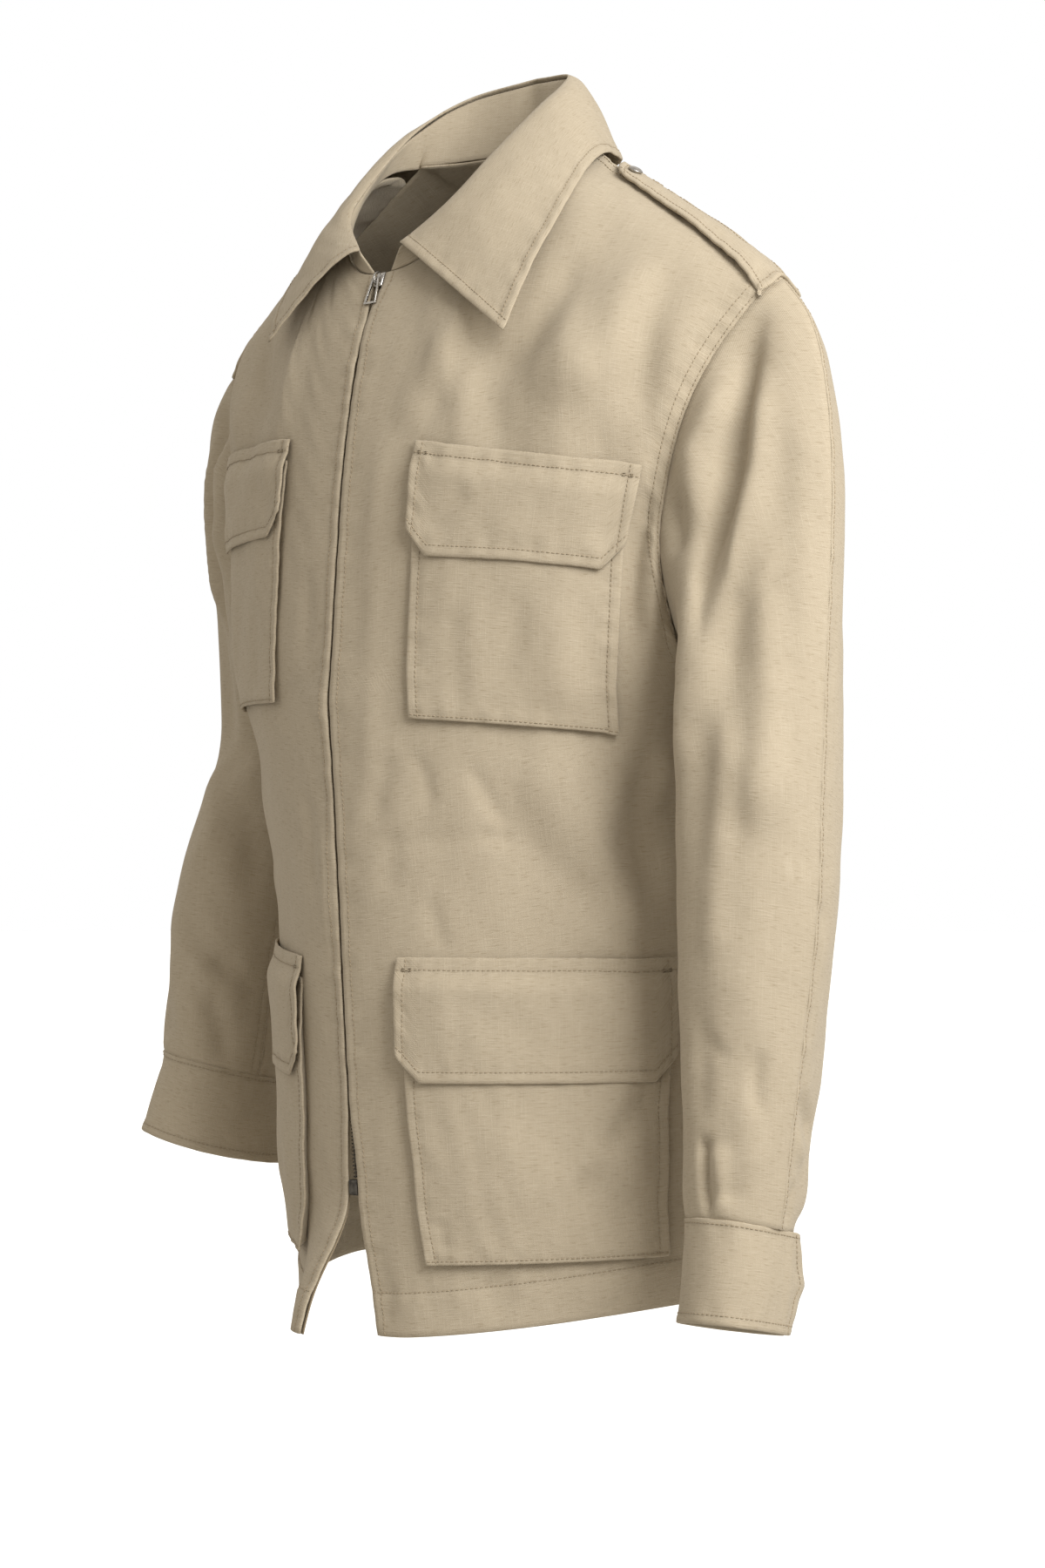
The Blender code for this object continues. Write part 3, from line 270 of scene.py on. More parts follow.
@dataclass
class GridReader:
    """Finds the rows and columns of points that a thin wall in the frame was made from.

    Attributes:
        node: the frame's mesh object.
        facing: which way the wall's outer side looks.
        thickness: distance between the wall's two sides.
        upward: direction that the second axis of the grid follows.
        rim_slack: share by which a rim's edge may differ from the thickness.
        decimals: digits of a coordinate by which double points are told.
    """

    node: bpy.types.Object
    facing: Facing
    thickness: float = CLOTH
    upward: tuple[float, float, float] = UP
    rim_slack: float = 0.06
    decimals: int = 6

    def merged(self) -> tuple[np.ndarray, np.ndarray]:
        """Reads the node's mesh.

        Returns:
            The points with doubles merged, and the triangles.
        """
        mesh = self.node.data
        mesh.calc_loop_triangles()
        points = np.empty(len(mesh.vertices) * 3)
        mesh.vertices.foreach_get("co", points)
        corners = np.empty(len(mesh.loop_triangles) * 3, int)
        mesh.loop_triangles.foreach_get("vertices", corners)
        points = points.reshape(-1, 3)
        rounded = np.round(points, self.decimals)
        _, first, index = np.unique(rounded, axis=0, return_index=True, return_inverse=True)
        return points[first], index.reshape(-1)[corners].reshape(-1, 3)

    def outer_side(self, points: np.ndarray, triangles: np.ndarray) -> np.ndarray:
        """Picks the outer side of the wall, without its rims.

        Args:
            points: the merged points.
            triangles: all triangles of the wall.

        Returns:
            The triangles of the outer side.
        """
        corners = points[triangles]
        lengths = np.linalg.norm(corners - np.roll(corners, -1, axis=1), axis=2)
        rim = (np.abs(lengths / self.thickness - 1) < self.rim_slack).any(axis=1)
        sides = triangles[~rim]
        labels = np.arange(len(points))
        while True:
            lowest = labels[sides].min(axis=1)
            spread = labels.copy()
            np.minimum.at(spread, sides.reshape(-1), np.repeat(lowest, 3))
            if (spread == labels).all():
                break
            labels = spread
        corners = points[sides]
        normals = np.cross(corners[:, 1] - corners[:, 0], corners[:, 2] - corners[:, 0])
        outward = np.broadcast_to(np.array(self.facing.value), normals.shape)
        if self.facing is Facing.ROUND:
            outward = corners.mean(axis=1) - points.mean(axis=0)
        agree = (normals * outward).sum(axis=1)
        side_of = labels[sides[:, 0]]
        best = max(set(side_of.tolist()), key=lambda label: agree[side_of == label].sum())
        return sides[side_of == best]

    @staticmethod
    def border(sides: np.ndarray) -> list[int]:
        """Walks round the outer side.

        Args:
            sides: the triangles of the outer side.

        Returns:
            The loop of border points, anticlockwise seen from outside.
        """
        pairs = np.concatenate([sides[:, [0, 1]], sides[:, [1, 2]], sides[:, [2, 0]]])
        known = set(map(tuple, pairs.tolist()))
        after = {a: b for a, b in known if (b, a) not in known}
        loop = [min(after)]
        while after[loop[-1]] != loop[0]:
            loop.append(after[loop[-1]])
        return loop

    def corners(self, sides: np.ndarray, loop: list[int]) -> tuple[int, int, int]:
        """Finds the corners of the grid, the border points that touch the fewest triangles.

        Args:
            sides: the triangles of the outer side.
            loop: the border points in order.

        Returns:
            Where the grid starts on its border, and its number of steps across and up.
        """
        # The number of points and the length of the border settle the numbers of columns and rows.
        count = len(np.unique(sides))
        half = (len(loop) + 4) // 2
        spread = math.isqrt(half * half - 4 * count)
        sizes = ((half + spread) // 2 - 1, (half - spread) // 2 - 1)
        touching = np.bincount(sides.reshape(-1), minlength=sides.max() + 1)[loop]
        best = None
        for across, up in (sizes, sizes[::-1]):
            for start in range(len(loop)):
                places = [start, start + across, start + across + up, start + 2 * across + up]
                score = sum(touching[place % len(loop)] for place in places)
                if best is None or score < best[0]:
                    best = (score, start, across, up)
        return best[1:]

    def read(self) -> np.ndarray:
        """The grid of points of the outer side, columns by rows.

        Returns:
            Points by column and row; column steps crossed with row steps point outwards.
        """
        points, triangles = self.merged()
        sides = self.outer_side(points, triangles)
        loop = self.border(sides)
        start, across, up = self.corners(sides, loop)
        rows = [[loop[(start + i) % len(loop)] for i in range(across + 1)]]
        left = sides
        for step in range(1, up + 1):
            current = set(rows[-1])
            touching = np.isin(left, rows[-1]).any(axis=1)
            follow = {}
            for triangle in left[touching].tolist():
                for first, second in zip(triangle, triangle[1:] + triangle[:1]):
                    if first not in current and second not in current:
                        follow[second] = first
            row = [loop[(start - step) % len(loop)]]
            while len(row) <= across:
                row.append(follow[row[-1]])
            rows.append(row)
            left = left[~touching]
        return self.turned(points[np.array(rows)].transpose(1, 0, 2))

    def turned(self, grid: np.ndarray) -> np.ndarray:
        """Turns a grid the right way round.

        Args:
            grid: points by column and row.

        Returns:
            The grid with its second axis upwards and its outer side still outside.
        """
        ways = [unit(np.diff(grid, axis=axis)).mean(axis=(0, 1)) @ np.array(self.upward) for axis in (0, 1)]
        mirrored = False
        if abs(ways[0]) > abs(ways[1]):
            grid = grid.transpose(1, 0, 2)
            ways = ways[::-1]
            mirrored = True
        if ways[1] < 0:
            grid = grid[:, ::-1]
            mirrored = not mirrored
        return grid[::-1] if mirrored else grid


@dataclass(frozen=True)
class Crease:
    """A soft trough or ridge along a path on a cloth piece.

    Attributes:
        path: places that it runs through, as shares of the piece's columns and rows.
        half_width: distance from its middle to where it has all but gone.
        depth: height above the cloth, below it where minus.
        steep: how much steeper its right-hand side is than its left, from -1 to 1.
        fade: share of its length over which each end dies away.
        free: whether it also moves the piece's edges.
        steps: points along it for every place that it runs through.
        limit: number of half widths beyond which it moves nothing.
        lean: share of the width that a steep side loses and the other side gains.
    """

    path: tuple[tuple[float, float], ...]
    half_width: float
    depth: float
    steep: float = 0.0
    fade: float = 0.3
    free: bool = False
    steps: int = 16
    limit: float = 3.0
    lean: float = 0.5

    def mirrored(self, strength: float) -> Crease:
        """The same crease on the matching piece of the other side.

        Args:
            strength: its depth as a share of this crease's depth.

        Returns:
            The mirrored crease.
        """
        path = tuple((1 - across, along) for across, along in self.path)
        return replace(self, path=path, depth=self.depth * strength, steep=-self.steep)

    def line(self, points: np.ndarray) -> np.ndarray:
        """Lays the crease's middle on the cloth.

        Args:
            points: the cloth's grid of points.

        Returns:
            Points along the middle.
        """
        keys = np.arange(len(self.path), dtype=float)
        places = spline(keys, np.array(self.path), np.linspace(0.0, keys[-1], self.steps * len(keys)))
        size = np.array(points.shape[:2]) - 1
        at = np.clip(places, 0.0, 1.0) * size
        cell = np.minimum(at.astype(int), size - 1)
        column, row = cell.T
        right, up = (at - cell).T[..., None]
        low = points[column, row] * (1 - right) + points[column + 1, row] * right
        high = points[column, row + 1] * (1 - right) + points[column + 1, row + 1] * right
        return low * (1 - up) + high * up

    def lift(self, points: np.ndarray, normals: np.ndarray) -> np.ndarray:
        """Outward move by this crease.

        Args:
            points: the cloth's grid of points.
            normals: its outward normals.

        Returns:
            The move at every point, in metres.
        """
        line = self.line(points)
        lengths = arc_lengths(line[:, None], 0)[:, 0]
        share = lengths / lengths[-1]
        strength = soft_step(share / self.fade)
        strength *= soft_step((1 - share) / self.fade)
        run = unit(np.gradient(line, axis=0))
        flat, out = points.reshape(-1, 3), normals.reshape(-1, 3)
        reach = self.limit * self.half_width
        near = np.all((flat > line.min(axis=0) - reach) & (flat < line.max(axis=0) + reach), axis=1)
        off = flat[near][:, None] - line
        distance = np.linalg.norm(off, axis=-1)
        closest = distance.argmin(axis=1)
        each = np.arange(len(closest))
        turn = np.cross(run[closest], off[each, closest])
        side = np.sign(np.einsum("ij,ij->i", turn, out[near]))
        width = self.half_width * (1 + self.lean * self.steep * side)
        total = np.zeros(len(flat))
        total[near] = self.depth * strength[closest] * np.exp(-((distance[each, closest] / width) ** 2))
        return total.reshape(points.shape[:2])


FRONT_LEFT_CREASES = (
    Crease(((0.54, 0.83), (0.44, 0.8), (0.34, 0.79), (0.25, 0.76)), 0.015, -0.006),
    Crease(((0.41, 0.82), (0.25, 0.82), (0.19, 0.77)), 0.013, 0.0025),
    Crease(((0.82, 0.95), (0.84, 0.89), (0.81, 0.83), (0.64, 0.76)), 0.018, 0.007),
    Crease(((0.68, 0.93), (0.68, 0.87), (0.6, 0.81), (0.41, 0.75)), 0.015, -0.006),
    Crease(((0.88, 0.95), (0.9, 0.86), (0.93, 0.78)), 0.012, -0.004),
    Crease(((0.94, 0.94), (0.96, 0.85), (0.99, 0.77)), 0.011, 0.0035),
    Crease(
        ((0.93, 0.75), (0.95, 0.71), (0.89, 0.67), (0.82, 0.62), (0.79, 0.58), (0.79, 0.56)),
        0.0065,
        -0.006,
    ),
    Crease(((0.99, 0.74), (0.97, 0.69), (0.89, 0.62), (0.84, 0.57)), 0.007, 0.004),
    Crease(((0.49, 0.49), (0.59, 0.44), (0.68, 0.39), (0.72, 0.34)), 0.028, 0.006),
    Crease(((0.79, 0.5), (0.78, 0.45), (0.76, 0.41), (0.78, 0.37), (0.82, 0.32)), 0.016, -0.009),
    Crease(((0.85, 0.49), (0.84, 0.45), (0.81, 0.42)), 0.008, 0.004),
    Crease(((0.35, 0.48), (0.41, 0.44), (0.46, 0.41)), 0.005, -0.0018),
    Crease(((0.38, 0.42), (0.42, 0.41), (0.47, 0.41)), 0.004, -0.0012),
    Crease(((0.17, 0.49), (0.14, 0.46), (0.11, 0.42)), 0.008, -0.002),
    Crease(((0.21, 0.49), (0.25, 0.46), (0.26, 0.43)), 0.005, -0.0013),
    Crease(((0.24, 0.37), (0.26, 0.34), (0.29, 0.31)), 0.006, -0.0013),
    Crease(((0.17, 0.42), (0.15, 0.38), (0.14, 0.36)), 0.009, -0.0012),
    Crease(((0.06, 0.42), (0.23, 0.41), (0.4, 0.41), (0.56, 0.4)), 0.006, -0.0008),
    Crease(((0.38, 0.49), (0.5, 0.41), (0.6, 0.37), (0.74, 0.33)), 0.015, -0.003),
    Crease(((0.64, 0.33), (0.74, 0.32), (0.82, 0.31)), 0.008, -0.002),
    Crease(((0.12, 0.85), (0.1, 0.7), (0.11, 0.53), (0.1, 0.42)), 0.009, 0.0014),
    Crease(((0.33, 0.05), (0.35, 0.03), (0.39, 0.01)), 0.012, -0.002),
    Crease(((0.59, 0.04), (0.6, 0.02), (0.62, 0.01)), 0.014, 0.0025),
)
FRONT_RIGHT_CREASES = (
    Crease(((0.97, 0.6), (1.0, 0.54), (0.97, 0.49)), 0.008, 0.002),
    Crease(((0.96, 0.43), (0.96, 0.38), (0.96, 0.32)), 0.009, 0.0022),
    Crease(((0.89, 0.68), (0.91, 0.63), (0.91, 0.56)), 0.007, -0.0016),
    Crease(((0.9, 0.46), (0.9, 0.41), (0.91, 0.36)), 0.008, -0.0018),
)
SLEEVE_LEFT_FRONT_CREASES = (
    Crease(
        ((0.94, 0.99), (0.85, 0.97), (0.77, 0.93), (0.71, 0.89), (0.61, 0.85), (0.52, 0.79), (0.46, 0.72)),
        0.009,
        -0.013,
        steep=-0.7,
    ),
    Crease(((0.81, 0.97), (0.71, 0.96), (0.61, 0.96), (0.56, 0.93), (0.48, 0.9)), 0.013, 0.008),
    Crease(((0.9, 0.95), (0.81, 0.91), (0.75, 0.86), (0.65, 0.81), (0.56, 0.74)), 0.012, 0.009),
    Crease(((0.52, 0.97), (0.46, 0.95), (0.4, 0.92)), 0.008, -0.004),
    Crease(((0.52, 0.99), (0.58, 0.97), (0.64, 0.94)), 0.0045, 0.0016),
    Crease(((0.6, 0.77), (0.71, 0.76), (0.83, 0.76)), 0.004, 0.0016),
    Crease(((0.61, 0.76), (0.73, 0.75), (0.85, 0.75)), 0.0045, -0.0018),
    Crease(((0.56, 0.7), (0.56, 0.58), (0.56, 0.44), (0.54, 0.26)), 0.01, 0.0032),
    Crease(((0.65, 0.67), (0.65, 0.58), (0.65, 0.43)), 0.008, -0.0018),
    Crease(((0.77, 0.68), (0.77, 0.61), (0.77, 0.55)), 0.008, 0.0016),
    Crease(((0.5, 0.11), (0.52, 0.06), (0.54, 0.0)), 0.004, -0.0065, steep=0.5, fade=0.2, free=True),
    Crease(((0.58, 0.1), (0.6, 0.05), (0.61, 0.0)), 0.007, 0.0039, fade=0.2, free=True),
    Crease(((0.5, 0.28), (0.5, 0.19), (0.5, 0.1)), 0.008, -0.0025),
    Crease(((0.52, 0.23), (0.58, 0.21), (0.65, 0.2)), 0.0045, -0.0014),
    Crease(((0.79, 0.22), (0.77, 0.18), (0.81, 0.13)), 0.005, -0.0026),
    Crease(((0.67, 0.18), (0.73, 0.12), (0.83, 0.05)), 0.012, 0.0024),
)
SLEEVE_LEFT_BACK_CREASES = (
    Crease(((0.0, 0.66), (0.0, 0.63), (0.0, 0.57)), 0.006, 0.0022),
    Crease(((0.0, 0.43), (0.0, 0.36), (0.0, 0.29)), 0.0055, -0.0024),
    Crease(((0.0, 0.2), (0.0, 0.17), (0.32, 0.12)), 0.007, -0.004),
    Crease(((0.0, 0.15), (0.02, 0.12), (0.21, 0.09)), 0.006, 0.003),
    Crease(((0.0, 0.0), (0.04, 0.03), (0.07, 0.07)), 0.0065, -0.003),
)
SLEEVE_RIGHT_FRONT_CREASES = (
    Crease(((0.41, 0.24), (0.64, 0.18), (0.85, 0.15)), 0.009, -0.0045),
    Crease(((0.53, 0.17), (0.7, 0.13), (0.87, 0.12)), 0.008, 0.003),
    Crease(((0.64, 0.12), (0.74, 0.06), (0.79, 0.0)), 0.008, -0.0035),
    Crease(((0.57, 0.7), (0.6, 0.61), (0.72, 0.53)), 0.01, -0.004),
    Crease(((0.26, 0.55), (0.49, 0.43), (0.57, 0.31)), 0.012, 0.003),
    Crease(((0.62, 0.48), (0.76, 0.35), (0.81, 0.25)), 0.01, -0.0024),
)
FLAP_CHEST_LEFT_CREASES = (
    Crease(((0.33, 0.66), (0.2, 0.41), (0.08, 0.12)), 0.009, -0.0018),
    Crease(((0.75, 0.28), (0.81, 0.16), (0.91, 0.0)), 0.009, 0.0022),
    Crease(((0.36, 0.31), (0.52, 0.25), (0.69, 0.28)), 0.009, 0.0008),
)
POCKET_CHEST_LEFT_CREASES = (
    Crease(((0.23, 0.5), (0.21, 0.28), (0.24, 0.01)), 0.01, -0.0016),
    Crease(((0.65, 0.57), (0.63, 0.3), (0.65, 0.01)), 0.014, 0.0016),
    Crease(((0.48, 0.59), (0.47, 0.33), (0.38, 0.1)), 0.014, -0.0014),
    Crease(((0.83, 0.57), (0.79, 0.33), (0.75, 0.1)), 0.009, -0.0012),
)
FLAP_HIP_LEFT_CREASES = (
    Crease(((0.17, 0.75), (0.34, 0.53), (0.57, 0.31)), 0.014, -0.0014),
    Crease(((0.6, 0.88), (0.74, 0.59), (0.88, 0.25)), 0.012, 0.0014),
)
POCKET_HIP_LEFT_CREASES = (
    Crease(((0.93, 0.64), (0.8, 0.48), (0.72, 0.37)), 0.009, -0.0046),
    Crease(((0.28, 0.54), (0.43, 0.36), (0.51, 0.16)), 0.02, 0.0022),
    Crease(((0.61, 0.35), (0.75, 0.22), (0.9, 0.12)), 0.016, -0.0042),
    Crease(((0.11, 0.19), (0.11, 0.12), (0.11, 0.04)), 0.006, -0.0012),
)
COLLAR_FALL_CREASES = (
    Crease(((0.03, 0.21), (0.09, 0.24), (0.19, 0.21)), 0.014, -0.0009),
    Crease(((0.05, 0.69), (0.1, 0.62), (0.2, 0.62)), 0.009, 0.0008),
)
POCKET_CREASES = {"chest": POCKET_CHEST_LEFT_CREASES, "hip": POCKET_HIP_LEFT_CREASES}
FLAP_CREASES = {"chest": FLAP_CHEST_LEFT_CREASES, "hip": FLAP_HIP_LEFT_CREASES}
# How much further the low and the high edge reach to the side than their solids do.
POCKET_REACHES = {"chest": (-0.015, -0.010), "hip": (-0.034, -0.011)}
FLAP_REACHES = {"chest": (-0.014, -0.003), "hip": (-0.018, -0.010)}
STRAP_REACHES = {"left": (0.019, 0.019), "right": (0.012, 0.012)}
# Height of a pocket's edges and of its middle above the front.
POCKET_STANDS = {"chest": (0.0040, 0.0058), "hip": (0.0056, 0.0080)}
# How far the low and the high edge hang above their solids, at the zip's end and at the side.
POCKET_TILTS = {
    "chest_left": ((0.0075, -0.003), (0.008, -0.013)),
    "chest_right": ((0.022, 0.027), (0.020, 0.025)),
    "hip_left": ((0.0, 0.006), (0.0, 0.0)),
    "hip_right": ((0.0, 0.014), (0.0, 0.014)),
}
FLAP_TILTS = {
    "chest_left": ((0.0035, -0.010), (0.008, -0.013)),
    "chest_right": ((0.025, 0.025), (0.020, 0.025)),
    "hip_left": ((-0.0095, -0.0085), (0.0, 0.0)),
    "hip_right": ((-0.0095, 0.006), (0.0, 0.016)),
}
BACK_CREASES = (
    Crease(((0.3, 0.86), (0.28, 0.7), (0.31, 0.52)), 0.020, -0.005),
    Crease(((0.41, 0.8), (0.4, 0.66), (0.42, 0.5)), 0.016, 0.003),
    Crease(((0.68, 0.88), (0.71, 0.73), (0.69, 0.58)), 0.018, -0.005),
    Crease(((0.04, 0.6), (0.14, 0.54), (0.27, 0.5)), 0.013, -0.005),
    Crease(((0.05, 0.66), (0.13, 0.62), (0.2, 0.6)), 0.010, 0.004),
    Crease(((0.96, 0.61), (0.86, 0.56), (0.76, 0.53)), 0.012, -0.005),
    Crease(((0.95, 0.55), (0.84, 0.49), (0.7, 0.46)), 0.010, 0.003),
    Crease(((0.2, 0.47), (0.38, 0.44), (0.55, 0.45)), 0.012, -0.003),
    Crease(((0.48, 0.4), (0.64, 0.38), (0.82, 0.41)), 0.010, -0.0025),
    Crease(((0.25, 0.32), (0.24, 0.18), (0.26, 0.05)), 0.022, 0.004),
    Crease(((0.52, 0.3), (0.54, 0.16), (0.52, 0.04)), 0.020, -0.004),
    Crease(((0.77, 0.33), (0.76, 0.19), (0.78, 0.06)), 0.024, 0.004),
    Crease(((0.0, 0.0), (0.15, 0.0), (0.36, 0.0)), 0.13, -0.013, free=True),
    Crease(((0.64, 0.0), (0.85, 0.0), (1.0, 0.0)), 0.13, -0.009, free=True),
)
# The hidden parts of the right side have the left side's larger folds, a little weaker.
FRONT_RIGHT_HIDDEN = tuple(crease.mirrored(strength=0.7) for crease in FRONT_LEFT_CREASES[2:11])
SLEEVE_BACK_CREASES = (
    Crease(((0.55, 0.94), (0.5, 0.8), (0.58, 0.66)), 0.012, -0.006),
    Crease(((0.7, 0.9), (0.66, 0.78), (0.7, 0.66)), 0.010, 0.004),
    Crease(((0.3, 0.62), (0.48, 0.56), (0.72, 0.58)), 0.010, -0.005),
    Crease(((0.34, 0.52), (0.52, 0.49), (0.74, 0.5)), 0.009, -0.004),
    Crease(((0.42, 0.57), (0.56, 0.53), (0.68, 0.54)), 0.007, 0.003),
    Crease(((0.45, 0.42), (0.42, 0.26), (0.46, 0.1)), 0.014, 0.003),
    Crease(((0.72, 0.4), (0.7, 0.24), (0.66, 0.08)), 0.012, -0.003),
)
SLEEVE_RIGHT_FRONT_HIDDEN = tuple(crease.mirrored(MIRRORED) for crease in SLEEVE_LEFT_FRONT_CREASES[:5])


class SleeveRow(NamedTuple):
    """Places of a sleeve's two outlines across the picture at one height, and how far they move.

    Attributes:
        height: the height.
        left: place of the left outline.
        right: place of the right outline.
        left_shift: how far the left outline moves across.
        right_shift: how far the right outline moves across.
        left_rise: how far the left outline moves up.
        right_rise: how far the right outline moves up.
    """

    height: float
    left: float
    right: float
    left_shift: float
    right_shift: float
    left_rise: float = 0.0
    right_rise: float = 0.0


class SleeveNod(NamedTuple):
    """How a sleeve is turned at one height.

    Attributes:
        height: the height.
        middle: place of the sleeve's middle towards the camera.
        fall: how far it goes down for every metre towards the camera.
    """

    height: float = 0.0
    middle: float = 0.0
    fall: float = 0.0


@dataclass(frozen=True)
class SleeveFit:
    """How a sleeve hangs in the picture, as moves of its two outlines from those of its solid.

    Attributes:
        rows: moves of the outlines, from the lowest height up.
        nods: turns of the sleeve, from the lowest height up.
    """

    rows: tuple[SleeveRow, ...]
    nods: tuple[SleeveNod, ...] = (SleeveNod(),)

    def moved(self, points: np.ndarray) -> np.ndarray:
        """Moves both outlines, and the points between them in step.

        Args:
            points: the grid of a sleeve's piece.

        Returns:
            The moved grid.
        """
        turn = math.radians(PICTURE_AZIMUTH)
        across = np.array([math.cos(turn), math.sin(turn), 0.0])
        towards = np.array([math.sin(turn), -math.cos(turn), 0.0])
        heights = points[..., 2]
        rows, nods = np.array(self.rows), np.array(self.nods)
        columns = [np.interp(heights, rows[:, 0], column) for column in rows.T[1:]]
        left, right, left_shift, right_shift, left_rise, right_rise = columns
        middle, fall = [np.interp(heights, nods[:, 0], column) for column in nods.T[1:]]
        share = np.clip((points @ across - left) / (right - left), 0.0, 1.0)
        shift = left_shift * (1 - share) + right_shift * share
        rise = left_rise * (1 - share) + right_rise * share
        rise = rise - (points @ towards - middle) * fall
        return points + shift[..., None] * across + rise[..., None] * np.array(UP)


SLEEVE_FITS = {
    "left": SleeveFit(
        (
            SleeveRow(-0.76, 0.099, 0.186, 0.0125, -0.006, -0.002, -0.004),
            SleeveRow(-0.72, 0.1, 0.186, 0.0125, -0.001, -0.003, -0.006),
            SleeveRow(-0.68, 0.1035, 0.184, 0.012, 0.0, -0.005, -0.009),
            SleeveRow(-0.64, 0.1015, 0.1925, 0.013, -0.001, -0.004, -0.007),
            SleeveRow(-0.6, 0.1015, 0.1965, 0.0115, 0.002, -0.002, -0.004),
            SleeveRow(-0.56, 0.102, 0.1985, 0.0105, 0.004),
            SleeveRow(-0.52, 0.103, 0.2015, 0.0085, 0.0055),
            SleeveRow(-0.48, 0.1035, 0.205, 0.0075, 0.006),
            SleeveRow(-0.44, 0.1045, 0.2085, 0.0065, 0.004),
            SleeveRow(-0.4, 0.103, 0.2095, 0.006, 0.003),
            SleeveRow(-0.36, 0.1065, 0.213, 0.004, 0.001),
            SleeveRow(-0.3, 0.1065, 0.2145, 0.0, 0.0),
        )
    ),
    "right": SleeveFit(
        (
            SleeveRow(-0.69, -0.236, -0.153, -0.0085, 0.012, 0.021, 0.0),
            SleeveRow(-0.61, -0.237, -0.148, 0.003, 0.001, 0.0085, -0.007),
            SleeveRow(-0.56, -0.2325, -0.1395, 0.001, 0.0, 0.005, -0.004),
            SleeveRow(-0.48, -0.2265, -0.118, 0.0, 0.0),
        ),
        (
            SleeveNod(-0.69, -0.126, 0.34),
            SleeveNod(-0.61, -0.145, 0.34),
            SleeveNod(-0.56, -0.163, 0.17),
            SleeveNod(-0.48, -0.192, 0.0),
        ),
    ),
}


@dataclass(frozen=True)
class Sewing:
    """Rows of stitches along one edge of a cloth piece.

    Attributes:
        edge: the edge that they follow.
        rows: distance of every row from the edge.
        span: part of the edge that they run along, as shares.
        puff: height of the turned cloth between the edge and the last row.
        pucker: height of the small gathers along the rows.
        tack: length of the bar of close stitches at both ends of the first row.
        tack_start: distance of those bars from the ends.
        tack_gap: distance of a bar's lines from the row.
        fade: share of the edge over which the rows' marks end.
        fold: distance over which the turned cloth ends at the last row.
        groove: depth that the thread pulls in.
        groove_width: half width of that groove.
        gather: length of a gather.
        gather_width: half width of the gathered band.
    """

    edge: Edge
    rows: tuple[float, ...]
    span: tuple[float, float] = (0.0, 1.0)
    puff: float = 0.0007
    pucker: float = 0.0004
    tack: float = 0.0
    tack_start: float = 0.003
    tack_gap: float = 0.0008
    fade: float = 0.03
    fold: float = 0.003
    groove: float = 0.00035
    groove_width: float = 0.0016
    gather: float = 0.016
    gather_width: float = 0.0075


class MeshMaker:
    """Makes mesh objects from arrays of points and faces."""

    @staticmethod
    def add(name: str, points: np.ndarray, faces: list | np.ndarray, smooth: bool = True) -> bpy.types.Object:
        """Adds a mesh object to the scene.

        Args:
            name: the object's name.
            points: its points.
            faces: its faces as rows of point numbers.
            smooth: whether its faces are shaded smoothly.

        Returns:
            The new object.
        """
        mesh = bpy.data.meshes.new(name)
        mesh.from_pydata(np.asarray(points).tolist(), [], np.asarray(faces).tolist())
        mesh.polygons.foreach_set("use_smooth", np.full(len(mesh.polygons), smooth))
        mesh.update()
        added = bpy.data.objects.new(name, mesh)
        bpy.context.scene.collection.objects.link(added)
        return added

    @staticmethod
    def paint(piece: bpy.types.Object, name: str, values: np.ndarray) -> None:
        """Stores one number per point of a mesh under a name."""
        attribute = piece.data.attributes.new(name, "FLOAT", "POINT")
        attribute.data.foreach_set("value", np.asarray(values, np.float32).reshape(-1))

    @staticmethod
    def unwrap(piece: bpy.types.Object, places: np.ndarray) -> None:
        """Gives a mesh its flat pattern.

        Args:
            piece: the mesh object.
            places: one place in metres for every point.
        """
        layer = piece.data.uv_layers.new(name="pattern")
        corners = np.empty(len(piece.data.loops), int)
        piece.data.loops.foreach_get("vertex_index", corners)
        layer.data.foreach_set("uv", places[corners].astype(np.float32).reshape(-1))


